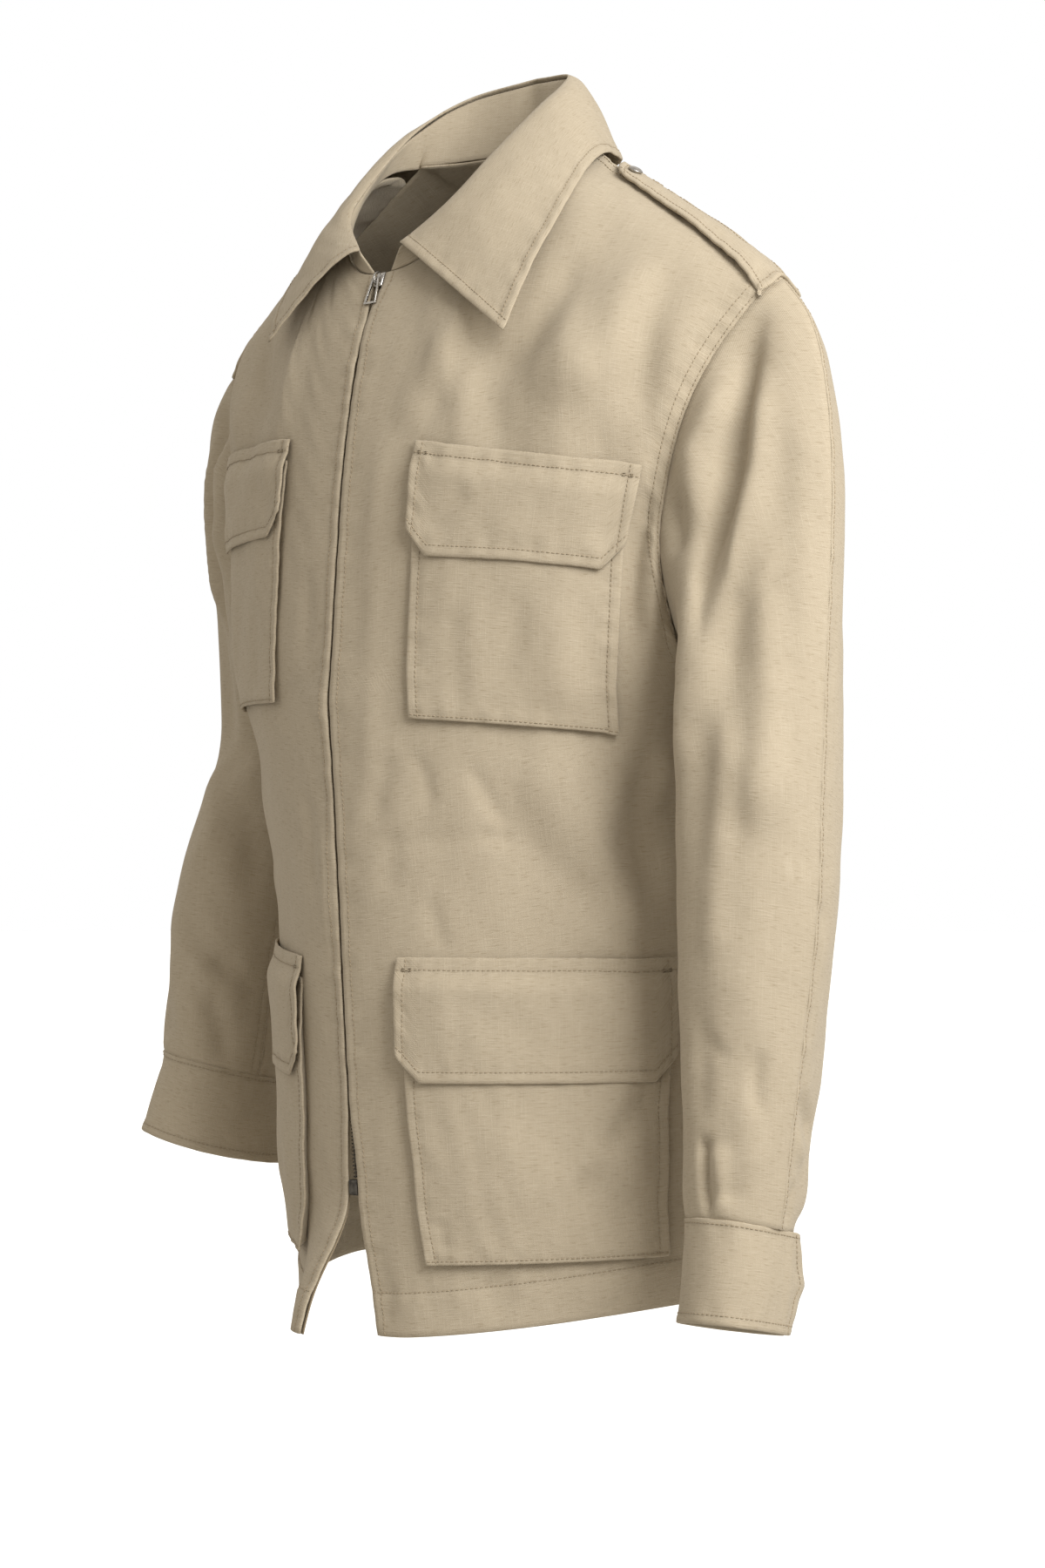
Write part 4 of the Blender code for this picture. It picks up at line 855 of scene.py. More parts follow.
@dataclass
class ClothPiece:
    """One cut piece of cloth as a fine shell on its solid's form.

    Attributes:
        node: name of the frame's node that it stands for.
        facing: which way its outer side looks.
        rests_on: names of the nodes that it lies on or is sewn to.
        thickness: thickness of the cloth.
        spacing: distance between the points of the shell.
        fit: how the shell follows its solid.
        upward: direction of its second axis.
        creases: listed troughs and ridges.
        sewing: rows of stitches along its edges.
        crumple: height of the faint unevenness all over.
        seed: number that settles its small unevenness.
        rounding: how many times its points are drawn towards their neighbours.
        sleeve_fit: how the sleeve that it belongs to hangs.
        broad: lengths of the broader unevenness, across and along.
        fine: lengths of the finer unevenness, across and along.
        fine_share: height of the finer unevenness as a share of the broader one's.
        crease_margin: distance from the edges over which creases die away.
        crumple_margin: distance from the edges over which the unevenness dies away.
        rim_bulge: how far the rim stands out, as a share of the thickness.
        least_area: smallest share of width times length that the cut's area is taken as.
        piece: the shell's mesh object.
        points: its outer points.
        normals: outward normals of those points.
        smooth_points: its outer points before creases and sewing.
        smooth_normals: outward normals of the smooth points.
        pattern: places of the points on the flat cut.
        shade: how close a point is to a row of stitches, from 0 to 1, which sets the painted shade in the
            cloth's colour there.
        reach: distance of the points from every edge.
        cut: width, length and area of the flat cut.
    """

    node: str
    facing: Facing
    held: str = "hung"
    rests_on: tuple[str, ...] = ()
    thickness: float = CLOTH
    spacing: float = 0.0034
    fit: Fit = Fit.THROUGH
    upward: tuple[float, float, float] = UP
    creases: tuple[Crease, ...] = ()
    sewing: tuple[Sewing, ...] = ()
    crumple: float = 0.0006
    seed: int = 1
    rounding: int = 6
    sleeve_fit: SleeveFit | None = None
    broad: tuple[float, float] = (0.075, 0.16)
    fine: tuple[float, float] = (0.026, 0.045)
    fine_share: float = 0.35
    crease_margin: float = 0.010
    crumple_margin: float = 0.012
    rim_bulge: float = 0.35
    least_area: float = 0.31
    piece: bpy.types.Object | None = None
    points: np.ndarray = field(default_factory=empty_grid)
    normals: np.ndarray = field(default_factory=empty_grid)
    smooth_points: np.ndarray = field(default_factory=empty_grid)
    smooth_normals: np.ndarray = field(default_factory=empty_grid)
    pattern: np.ndarray = field(default_factory=empty_grid)
    shade: np.ndarray = field(default_factory=empty_grid)
    reach: dict[Edge, np.ndarray] = field(default_factory=dict)
    cut: tuple[float, float, float] = (0.0, 0.0, 0.0)

    def shape(self, frame: dict, made: dict[str, ClothPiece]) -> None:
        """Works out the fine outer points, with creases and turned edges.

        Args:
            frame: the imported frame.
            made: the pieces that are shaped already, by node.
        """
        reader = GridReader(frame["nodes"][self.node], self.facing, self.thickness, self.upward)
        self.finish(self.laid(self.refined(self.control(reader)), made))

    def control(self, reader: GridReader) -> np.ndarray:
        """The solid's own grid of outer points."""
        return reader.read()

    def laid(self, points: np.ndarray, made: dict[str, ClothPiece]) -> np.ndarray:
        """The points where the piece lies; a hung piece keeps those of its solid."""
        return points

    def finish(self, points: np.ndarray) -> None:
        """Measures the piece and moves its points by creases and turned edges.

        Args:
            points: the outer points where the piece lies.
        """
        if self.sleeve_fit:
            points = self.sleeve_fit.moved(points)
        self.cut = self.flat_size(points)
        self.reach = edge_distances(points)
        normals = self.grid_normals(points)
        self.smooth_points, self.smooth_normals = points, normals
        across, along = self.reach[Edge.LEFT], self.reach[Edge.LOW]
        self.pattern = np.stack([across - across[-1:] / 2, along], axis=-1)
        self.points = points + normals * self.lift(points, normals)[..., None]
        self.normals = self.grid_normals(self.points)

    def refined(self, control: np.ndarray) -> np.ndarray:
        """Makes the solid's grid finer.

        Args:
            control: the solid's own points.

        Returns:
            Points about one spacing apart.
        """
        follow = spline if self.fit is Fit.THROUGH else straight
        grid = control
        for _ in range(2):
            keys = arc_lengths(grid, 0).mean(axis=1)
            count = max(2, math.ceil(keys[-1] / self.spacing))
            rows = grid.shape[1]
            read = spline if len(keys) < 3 else follow
            dense = read(keys, grid.reshape(len(keys), -1), np.linspace(0.0, keys[-1], count + 1))
            grid = dense.reshape(count + 1, rows, 3).transpose(1, 0, 2)
        if self.fit is Fit.ROUNDED:
            for _ in range(self.rounding):
                grid = self.rounded(grid)
        return grid

    @staticmethod
    def rounded(grid: np.ndarray) -> np.ndarray:
        """Draws every inner point towards its neighbours.

        Args:
            grid: the grid of points.

        Returns:
            The rounded grid, with its border as it was.
        """
        drawn = grid.copy()
        drawn[1:-1] = (grid[:-2] + 2 * grid[1:-1] + grid[2:]) / 4
        inner = drawn.copy()
        inner[:, 1:-1] = (drawn[:, :-2] + 2 * drawn[:, 1:-1] + drawn[:, 2:]) / 4
        for line in (0, -1):
            inner[line] = grid[line]
            inner[:, line] = grid[:, line]
        return inner

    @staticmethod
    def flat_size(points: np.ndarray) -> tuple[float, float, float]:
        """Measures the flat cut that covers a grid.

        Args:
            points: the grid.

        Returns:
            Width, length and area of the cut.
        """
        width = float(arc_lengths(points, 0)[-1].max())
        height = float(arc_lengths(points, 1)[:, -1].max())
        first = points[1:, 1:] - points[:-1, :-1]
        second = points[:-1, 1:] - points[1:, :-1]
        area = float(np.linalg.norm(np.cross(first, second), axis=-1).sum() / 2)
        return width, height, min(area, width * height)

    @staticmethod
    def grid_normals(points: np.ndarray) -> np.ndarray:
        """Outward normals of a grid of points."""
        return unit(np.cross(np.gradient(points, axis=0), np.gradient(points, axis=1)))

    def lift(self, points: np.ndarray, normals: np.ndarray) -> np.ndarray:
        """Adds up creases, turned edges and faint unevenness.

        Args:
            points: the smooth outer points.
            normals: their outward normals.

        Returns:
            The outward move of every point.
        """
        left, low = self.reach[Edge.LEFT], self.reach[Edge.LOW]
        border = np.minimum.reduce([self.reach[edge] for edge in Edge])
        kept = soft_step(border / self.crease_margin)
        total = np.zeros(left.shape)
        for crease in self.creases:
            total += crease.lift(points, normals) * (1.0 if crease.free else kept)
        broad = ripples(left, low, self.broad, self.seed)
        fine = ripples(left, low, self.fine, self.seed + FINE_SEED)
        total += self.crumple * (broad + self.fine_share * fine) * soft_step(border / self.crumple_margin)
        self.shade = np.zeros(left.shape)
        for row in self.sewing:
            total += self.turned_edge(row)
        return total

    def turned_edge(self, sewing: Sewing) -> np.ndarray:
        """Works out a turned edge and the small gathers at its stitches.

        Args:
            sewing: the rows along the edge.

        Returns:
            The outward move of every point.
        """
        away = self.reach[sewing.edge]
        upright = sewing.edge in (Edge.LEFT, Edge.RIGHT)
        beside = self.reach[Edge.LOW if upright else Edge.LEFT]
        share = beside / np.maximum(np.take(beside, [-1], axis=1 if upright else 0), 1e-9)
        start, end = sewing.span
        ends = soft_step((share - start) / sewing.fade + 0.5) * soft_step((end - share) / sewing.fade + 0.5)
        last = max(sewing.rows)
        total = sewing.puff * (1 - soft_step((away - last) / sewing.fold + 0.5)) * ends
        for row in sewing.rows:
            near = np.exp(-(((away - row) / sewing.groove_width) ** 2))
            wide = np.exp(-(((away - row) / sewing.gather_width) ** 2))
            lengths = (sewing.gather, sewing.gather * GATHER_DEPTH)
            uneven = ripples(beside, away, lengths, self.seed + GATHER_SEED)
            total += (sewing.pucker * uneven * wide - sewing.groove * near) * ends
            # The groove along each row is marked for painted shade in the cloth's colour.
            self.shade += near * ends
        return total

    def build(self) -> bpy.types.Object:
        """Makes the shell: outer side, inner side and a rounded rim between them.

        Returns:
            The new shell.
        """
        columns, rows = self.points.shape[:2]
        inner = self.points - self.normals * self.thickness
        middle = (self.points + inner) / 2
        ring = self.ring(columns, rows)
        bulge = self.rim_direction() * self.thickness * self.rim_bulge
        count = columns * rows
        rim = middle.reshape(-1, 3)[ring] + bulge
        points = np.concatenate([self.points.reshape(-1, 3), inner.reshape(-1, 3), rim])
        cells = grid_cells(columns, rows)
        rim_numbers = 2 * count + np.arange(len(ring))
        after = np.roll(rim_numbers, -1)
        outer_rim = np.stack([ring, rim_numbers, after, np.roll(ring, -1)], axis=-1)
        inner_rim = np.stack([rim_numbers, ring + count, np.roll(ring, -1) + count, after], axis=-1)
        faces = np.concatenate([cells, cells[:, ::-1] + count, outer_rim, inner_rim])
        self.piece = MeshMaker.add(f"cloth_{self.node}", points, faces)
        flat = self.pattern.reshape(-1, 2)
        MeshMaker.unwrap(self.piece, np.concatenate([flat, flat, flat[ring]]))
        # The painted shade of the stitch grooves is stored for the outer side only.
        shade = np.clip(self.shade.reshape(-1), 0.0, 1.0)
        MeshMaker.paint(self.piece, "painted_seam_shade", np.concatenate([shade, shade * 0, shade[ring] * 0]))
        return self.piece

    @staticmethod
    def ring(columns: int, rows: int) -> np.ndarray:
        """Numbers of the points round the border, anticlockwise from outside."""
        numbers = np.arange(columns * rows).reshape(columns, rows)
        return np.concatenate([numbers[:-1, 0], numbers[-1, :-1], numbers[:0:-1, -1], numbers[0, :0:-1]])

    def rim_direction(self) -> np.ndarray:
        """Finds the directions that leave the cloth across its border.

        Returns:
            One direction for every point of the ring.
        """
        ring = self.ring(*self.points.shape[:2])
        flat = self.points.reshape(-1, 3)[ring]
        along = unit(np.roll(flat, -1, axis=0) - np.roll(flat, 1, axis=0))
        return unit(np.cross(along, self.normals.reshape(-1, 3)[ring]))

    def declare(self, extra: list[bpy.types.Object]) -> None:
        """Args:
            extra: the stitches and strips that go with it; not used.
        """
        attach(self.piece, JACKET_BODY)
        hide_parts(self.node)
        width, height, area = self.cut
        share = min(1.0, max(self.least_area, area / (width * height)))
        list(self.rests_on)
        share * width * height

    def line(
        self,
        edge: Edge,
        away: float,
        span: tuple[float, float] = (0.0, 1.0),
        margins: tuple[float, float] = (0.0, 0.0),
        count: int = 0,
    ) -> tuple[np.ndarray, np.ndarray]:
        """A line on the outer side at one distance from an edge.

        Args:
            edge: the edge that the line follows.
            away: its distance from the edge.
            span: shares of the edge where it starts and ends.
            margins: distance that it stops short at both ends.
            count: number of points, or 0 for one in every step of a line.

        Returns:
            Points and normals along the line.
        """
        reach = self.reach[edge]
        points, normals = self.points, self.normals
        if edge in (Edge.LEFT, Edge.RIGHT):
            reach, points, normals = reach.T, points.transpose(1, 0, 2), normals.transpose(1, 0, 2)
        if edge in (Edge.RIGHT, Edge.HIGH):
            reach, points, normals = reach[:, ::-1], points[:, ::-1], normals[:, ::-1]
        both = np.concatenate([points, normals], axis=-1)
        found = np.stack([straight(reach[i], both[i], np.array([away]))[0] for i in range(len(both))])
        length = arc_lengths(found[:, None, :3], 0)[:, 0]
        start = span[0] * length[-1] + margins[0]
        end = span[1] * length[-1] - margins[1]
        at = np.linspace(start, end, count or max(2, int((end - start) / LINE_STEP)))
        read = straight(length, found, at)
        return read[:, :3], unit(read[:, 3:])


@dataclass
class LaidPiece(ClothPiece):
    """A cloth piece that lies on a panel, moved out from the panel's own points.

    Attributes:
        gap: height of its outer side above the panel along its sewn edge.
        edge_stand: height of its free edges above the panel.
        stand: height of its middle above the panel.
        rise: distance from the sewn edge over which it rises.
        hang: further height that its lowest edge stands away.
        sewn: the edge along which it is sewn down.
        tip: the edge that reaches further than its solid does.
        lengthen: distance that it reaches further, along its low and its high edge.
        tilt: height of its low and of its high edge above its solid's, away from the tip and at it.
        shift: how far it lies from its solid.
        side_rise: distance from its two sides over which it rises to its full stand.
        low_rise: distance from its low edge over which it rises to its full stand.
        base: the places on the panel below its points.
        base_normals: outward normals of the panel there.
    """

    gap: float = 0.0024
    edge_stand: float = 0.004
    stand: float = 0.006
    rise: float = 0.05
    hang: float = 0.0
    sewn: Edge = Edge.HIGH
    tip: Edge = Edge.RIGHT
    lengthen: tuple[float, float] = (0.0, 0.0)
    tilt: tuple[tuple[float, float], tuple[float, float]] = ((0.0, 0.0), (0.0, 0.0))
    shift: tuple[float, float, float] = (0.0, 0.0, 0.0)
    side_rise: float = 0.035
    low_rise: float = 0.045
    base: np.ndarray = field(default_factory=empty_grid)
    base_normals: np.ndarray = field(default_factory=empty_grid)

    def laid(self, points: np.ndarray, made: dict[str, ClothPiece]) -> np.ndarray:
        """Moves the points onto the panel and out by this piece's own height.

        Args:
            points: the solid's points.
            made: the pieces that are shaped already, by node.

        Returns:
            The outer points where the piece lies.
        """
        points = self.stretched(points)
        corners, flat_normals, cells, count = [], [], [], 0
        for name in self.rests_on:
            panel = made[name]
            columns, rows = panel.smooth_points.shape[:2]
            cells.append(grid_cells(columns, rows) + count)
            corners.append(panel.smooth_points.reshape(-1, 3))
            flat_normals.append(panel.smooth_normals.reshape(-1, 3))
            count += columns * rows
        cells, flat_normals = np.concatenate(cells), np.concatenate(flat_normals)
        tree = BVHTree.FromPolygons(np.concatenate(corners).tolist(), cells.tolist())
        base = np.empty_like(points)
        normals = np.empty_like(points)
        for place in np.ndindex(points.shape[:2]):
            found, _, cell, _ = tree.find_nearest(Vector(points[place]))
            base[place] = found
            normals[place] = flat_normals[cells[cell]].mean(axis=0)
        for _ in range(self.rounding):
            base = self.rounded(base)
            normals = self.rounded(normals)
        self.base = base
        self.base_normals = unit(normals)
        return base + self.base_normals * self.height(base)[..., None]

    def stretched(self, points: np.ndarray) -> np.ndarray:
        """Draws the tip out along the piece, or in where minus, then tilts and shifts the piece.

        Args:
            points: the solid's points.

        Returns:
            The moved points.
        """
        share = np.linspace(0.0, 1.0, len(points))[:, None, None]
        if self.tip is Edge.LEFT:
            share = share[::-1]
        ahead = unit(points[-1] - points[0])[None] * (1 if self.tip is Edge.RIGHT else -1)
        further = np.linspace(*self.lengthen, points.shape[1])[None, :, None]
        (low_far, low_tip), (high_far, high_tip) = self.tilt
        up = np.linspace(0.0, 1.0, points.shape[1])[None, :, None]
        low = low_far + (low_tip - low_far) * share
        high = high_far + (high_tip - high_far) * share
        lifted = (low + (high - low) * up) * np.array(UP)
        return points + ahead * share * further + lifted + np.array(self.shift)

    def height(self, base: np.ndarray) -> np.ndarray:
        """Works out how high the piece stands.

        Args:
            base: the places on the panel below its points.

        Returns:
            Height of the outer side above the panel at every place.
        """
        away = edge_distances(base)
        beside = np.minimum(away[Edge.LEFT], away[Edge.RIGHT])
        down = away[self.sewn]
        inside = soft_step(beside / self.side_rise) * soft_step(away[Edge.LOW] / self.low_rise)
        full = self.edge_stand + (self.stand - self.edge_stand) * inside
        hanging = self.hang * (down / down.max()) ** 2
        return self.gap + (full - self.gap) * soft_step(down / self.rise) + hanging

    def gusset(
        self,
        inset: float = 0.0018,
        foot: float = 0.0065,
        top: float = 0.004,
        thin: float = 0.7,
        sunk: float = 0.8,
        steps: int = 5,
        count: int = 60,
    ) -> bpy.types.Object:
        """Makes the folded strip behind the free edges, from the face down to the panel.

        Args:
            inset: distance of its upper line from the face's edges.
            foot: distance of its lower line from the face's edges.
            top: distance of its two ends from the sewn edge.
            thin: its thickness as a share of the face's.
            sunk: depth of its upper line below the face's outer side, as a share of the face's thickness.
            steps: points across the strip.
            count: points along each of its three sides.

        Returns:
            The new strip.
        """
        shell = ClothPiece(self.node, self.facing, thickness=self.thickness * thin)
        shell.reach = self.reach
        lines = []
        for points, away in ((self.points - self.normals * self.thickness * sunk, inset), (self.base, foot)):
            shell.points, shell.normals = points, self.base_normals
            sides = [
                shell.line(Edge.LEFT, away, margins=(away, top), count=count)[0][::-1],
                shell.line(Edge.LOW, away, margins=(away, away), count=count)[0],
                shell.line(Edge.RIGHT, away, margins=(away, top), count=count)[0],
            ]
            lines.append(np.concatenate(sides))
        share = np.linspace(0.0, 1.0, steps)[None, :, None]
        strip = lines[1][:, None] * (1 - share) + lines[0][:, None] * share
        shell.points = strip
        shell.normals = shell.grid_normals(strip)
        across, along = arc_lengths(strip, 0), arc_lengths(strip, 1)
        shell.pattern = np.stack([across, along], axis=-1)
        shell.shade = np.zeros(across.shape)
        made = shell.build()
        made.name = f"gusset_{self.node}"
        return made


@dataclass
class CuffPiece(ClothPiece):
    """A cuff band whose front end laps over its back end with a pointed tab.

    Attributes:
        solid_turn: angle that the solid's band covers, its lap included.
        solid_lap: height of the lap in the solid.
        solid_tab_points: points of the solid's pointed end between its two corners.
        opening: angle between the back end and the slit.
        lap: angle that the front end covers beyond the slit.
        point: further angle that the tab's tip covers at half height.
        stand: height of the tip above the band.
        solid_rise_start: angle before the end of the first turn where the solid's lap starts to rise.
        solid_rise: angle over which the solid's lap rises.
        rise: angle over which the front end rises before the slit.
        backward: whether the band runs the other way round than its columns do.
    """

    solid_turn: float = 2 * math.pi + 0.45
    solid_lap: float = 0.0026
    solid_tab_points: int = 2
    opening: float = 0.06
    lap: float = 0.20
    point: float = 0.20
    stand: float = 0.007
    solid_rise_start: float = 0.7
    solid_rise: float = 0.6
    rise: float = 0.30
    backward: bool = False

    def control(self, reader: GridReader) -> np.ndarray:
        """Reads the two long edges of the solid's band.

        Args:
            reader: what reads the solid.

        Returns:
            A grid of two rows.
        """
        points, triangles = reader.merged()
        ring = points[reader.border(reader.outer_side(points, triangles))]
        steps = np.linalg.norm(ring - np.roll(ring, -1, axis=0), axis=1)
        ring = np.roll(ring, -int(steps.argmax()) - 1, axis=0)
        count = (len(ring) - self.solid_tab_points) // 2
        band = np.stack([ring[:count], ring[::-1][:count]], axis=1)
        self.backward = bool(ring[0, 2] > ring[-1, 2])
        return band[:, ::-1] if self.backward else band

    def laid(self, points: np.ndarray, made: dict[str, ClothPiece]) -> np.ndarray:
        """Turns the band so that its tab points back over the slit.

        Args:
            points: the solid's points.
            made: the pieces that are shaped already, by node.

        Returns:
            The outer points where the band lies.
        """
        normals = self.grid_normals(points) * (-1 if self.backward else 1)
        columns, rows = points.shape[:2]
        turns = np.linspace(0.0, self.solid_turn, columns)
        # The band's first whole turn ends within the last third of its columns.
        middle = points[:, rows // 2]
        later = columns * 2 // 3
        whole = turns[later + int(np.linalg.norm(middle[later:] - middle[0], axis=1).argmin())]
        raised = self.solid_lap * soft_step((turns - whole + self.solid_rise_start) / self.solid_rise)
        both = np.concatenate([points - normals * raised[:, None, None], normals], axis=-1)
        up = np.linspace(0.0, 1.0, rows)
        tip = self.lap + self.point * (1 - np.abs(2 * up - 1))
        share = np.linspace(0.0, 1.0, columns)[:, None]
        ends = (whole - self.opening + tip) * share - tip
        laid = np.empty_like(points)
        for row in range(rows):
            turn = ends[:, row]
            read = straight(turns, both[:, row], np.where(turn < 0, turn + whole, turn))
            closing = straight(turns, both[:, row], np.array([whole]))[:, :3] - both[:1, row, :3]
            read[:, :3] -= np.where(turn < 0, 1.0, 0.0)[:, None] * closing
            beyond = np.maximum(0.0, -turn / (self.lap + self.point))
            lift = self.solid_lap * soft_step((self.rise - turn) / self.rise) + self.stand * beyond**2
            laid[:, row] = read[:, :3] + unit(read[:, 3:]) * lift[:, None]
        return laid[::-1] if self.backward else laid


@dataclass
class Stitcher:
    """Sews rows of thread stitches as one joined mesh for each cloth piece.

    Attributes:
        pitch: distance from one stitch to the next.
        length: length of a stitch.
        radius: radius of the thread.
        sides: sides of the thread.
        seed: number that settles how uneven the stitches are.
        drift: how far a stitch usually lies from its place.
        slant: how far a stitch usually turns aside, as a share of its length.
        slant_spread: how much that turn varies.
        seat: height of the thread's middle above the cloth, as a share of its radius.
        stations: places along a stitch as shares of its length, and the thread's radius there as a share.
    """

    pitch: float = 0.0031
    length: float = 0.0025
    radius: float = 0.00034
    sides: int = 5
    seed: int = 11
    drift: float = 0.00012
    slant: float = 0.06
    slant_spread: float = 0.03
    seat: float = 0.55
    stations: tuple[tuple[float, float], ...] = ((-0.36, 0.75), (0.0, 1.0), (0.36, 0.75))

    def template(self) -> tuple[np.ndarray, np.ndarray]:
        """Makes one stitch that lies along the first axis.

        Returns:
            Its points and triangles.
        """
        rings = []
        for along, share in self.stations:
            for turn in np.linspace(0.0, 2 * math.pi, self.sides, endpoint=False):
                spoke = self.radius * share
                rings.append((along * self.length, math.cos(turn) * spoke, math.sin(turn) * spoke))
        ends = [(-self.length / 2, 0.0, -self.radius), (self.length / 2, 0.0, -self.radius)]
        points = np.array(rings + ends)
        faces = []
        last = (len(self.stations) - 1) * self.sides
        for i in range(self.sides):
            after = (i + 1) % self.sides
            for level in range(len(self.stations) - 1):
                low, high = level * self.sides, (level + 1) * self.sides
                faces.append((low + i, low + after, high + after))
                faces.append((low + i, high + after, high + i))
            faces.append((len(rings), after, i))
            faces.append((len(rings) + 1, last + i, last + after))
        return points, np.array(faces)[:, ::-1]

    def along(self, line: np.ndarray, normals: np.ndarray) -> tuple[np.ndarray, np.ndarray]:
        """Lays stitches along one line on the cloth.

        Args:
            line: points of the line.
            normals: outward normals there.

        Returns:
            Points and triangles of the stitches.
        """
        length = arc_lengths(line[:, None], 0)[:, 0]
        count = max(1, int(length[-1] / self.pitch))
        at = (np.arange(count) + 0.5) * length[-1] / count
        draw = np.random.default_rng(self.seed)
        at = at + draw.normal(0.0, self.drift, count)
        middle = straight(length, line, at)
        normal = unit(straight(length, normals, at))
        step = self.length * STITCH_FEEL
        ahead = unit(straight(length, line, at + step) - straight(length, line, at - step))
        aside = unit(np.cross(normal, ahead))
        ahead = unit(ahead + aside * draw.normal(self.slant, self.slant_spread, (count, 1)))
        aside = np.cross(normal, ahead)
        shape, faces = self.template()
        points = (
            middle[:, None]
            + shape[None, :, :1] * ahead[:, None]
            + shape[None, :, 1:2] * aside[:, None]
            + (shape[None, :, 2:] + self.radius * self.seat) * normal[:, None]
        )
        numbers = faces[None] + (np.arange(count) * len(shape))[:, None, None]
        return points.reshape(-1, 3), numbers.reshape(-1, 3)

    def sew(self, name: str, lines: list[tuple[np.ndarray, np.ndarray]]) -> bpy.types.Object:
        """Sews stitches along several lines as one piece of thread.

        Args:
            name: the piece's name.
            lines: points and normals of every line.

        Returns:
            The new thread object.
        """
        points, faces, count = [], [], 0
        for line, normals in lines:
            some, numbers = self.along(line, normals)
            points.append(some)
            faces.append(numbers + count)
            count += len(some)
        return MeshMaker.add(name, np.concatenate(points), np.concatenate(faces))


class Wire:
    """A socket of a material's nodes that takes part in sums."""

    def __init__(self, paint: Paint, socket: bpy.types.NodeSocket) -> None:
        """Keeps the paint that the socket belongs to."""
        self.paint = paint
        self.socket = socket

    def combine(self, operation: str, other: Wire | float = 0.0) -> Wire:
        """A Math node on this value and another."""
        return self.paint.node("ShaderNodeMath", {"operation": operation}, {0: self, 1: other})

    def __add__(self, other: Wire | float) -> Wire:
        """Sum."""
        return self.combine("ADD", other)

    def __sub__(self, other: Wire | float) -> Wire:
        """Difference."""
        return self.combine("SUBTRACT", other)

    def __mul__(self, other: Wire | float) -> Wire:
        """Product."""
        return self.combine("MULTIPLY", other)

    def sine(self) -> Wire:
        """Sine of a value in radians."""
        return self.combine("SINE")

    def between(self, low: float, high: float) -> Wire:
        """The value spread from 0 at low to 1 at high."""
        sockets = {"Value": self, "From Min": low, "From Max": high}
        return self.paint.node("ShaderNodeMapRange", {"clamp": True}, sockets)


class Paint:
    """A material made of nodes."""

    def __init__(self, name: str) -> None:
        """Starts a material with only a shader and an output.

        Args:
            name: the material's name.
        """
        self.material = bpy.data.materials.new(name)
        self.material.use_nodes = True
        self.tree = self.material.node_tree
        self.tree.nodes.clear()
        self.shader = self.tree.nodes.new("ShaderNodeBsdfPrincipled")
        output = self.tree.nodes.new("ShaderNodeOutputMaterial")
        self.tree.links.new(self.shader.outputs[0], output.inputs[0])

    def node(
        self,
        kind: str,
        settings: dict | None = None,
        sockets: dict | None = None,
        output: int = 0,
    ) -> Wire:
        """Adds one node.

        Args:
            kind: type of the node.
            settings: its own settings, by name.
            sockets: values or wires of its inputs, by name or number.
            output: number of the output that is returned.

        Returns:
            The wire of that output.
        """
        made = self.tree.nodes.new(kind)
        for name, value in (settings or {}).items():
            setattr(made, name, value)
        for name, value in (sockets or {}).items():
            self.feed(made.inputs[name], value)
        return Wire(self, made.outputs[output])

    def feed(self, socket: bpy.types.NodeSocket, value: object) -> None:
        """Gives an input a wire or a plain value.

        Args:
            socket: the input.
            value: the wire or the value.
        """
        if isinstance(value, Wire):
            self.tree.links.new(value.socket, socket)
        else:
            socket.default_value = value

    def surface(self, **values: object) -> None:
        """Sets inputs of the shader, with underscores for the spaces in their names."""
        for name, value in values.items():
            self.feed(self.shader.inputs[name.replace("_", " ")], value)

    def places(self) -> Wire:
        """Places on the piece in its own coordinates."""
        return self.node("ShaderNodeTexCoord", output=OBJECT_PLACES)

    def noise(self, places: Wire, scale: tuple[float, float, float], detail: float) -> Wire:
        """Smooth noise with its own scale for every axis."""
        scaled = self.node("ShaderNodeVectorMath", {"operation": "MULTIPLY"}, {0: places, 1: scale})
        return self.node("ShaderNodeTexNoise", {}, {"Vector": scaled, "Scale": 1.0, "Detail": detail})

    def mix(self, factor: Wire | float, first: object, second: object) -> Wire:
        """Two colours mixed by a factor."""
        sockets = {MIX_FACTOR: factor, MIX_FIRST: first, MIX_SECOND: second}
        return self.node("ShaderNodeMix", {"data_type": "RGBA"}, sockets, MIX_RESULT)

    def bump(self, height: Wire, distance: float, strength: float) -> Wire:
        """Bumps of a height between 0 and 1 over a real distance."""
        sockets = {"Height": height, "Distance": distance, "Strength": strength}
        return self.node("ShaderNodeBump", {}, sockets)


@dataclass(frozen=True)
class Speckle:
    """Smooth noise on a surface.

    Attributes:
        scale: how many times it changes in a metre, along every axis.
        levels: levels that count as none and as full, where it is cut off.
        detail: how much finer noise it has.
        tone: how much it lightens the surface.
        height: how much it raises the surface.
        rough: how much it adds to the roughness.
    """

    scale: tuple[float, float, float]
    levels: tuple[float, float] | None = None
    detail: float = 2.0
    tone: float = 0.0
    height: float = 0.0
    rough: float = 0.0

    def spread(self, paint: Paint, places: Wire) -> Wire:
        """The noise at the given places of a material, from 0 to 1."""
        noise = paint.noise(places, self.scale, self.detail)
        return noise.between(*self.levels) if self.levels else noise


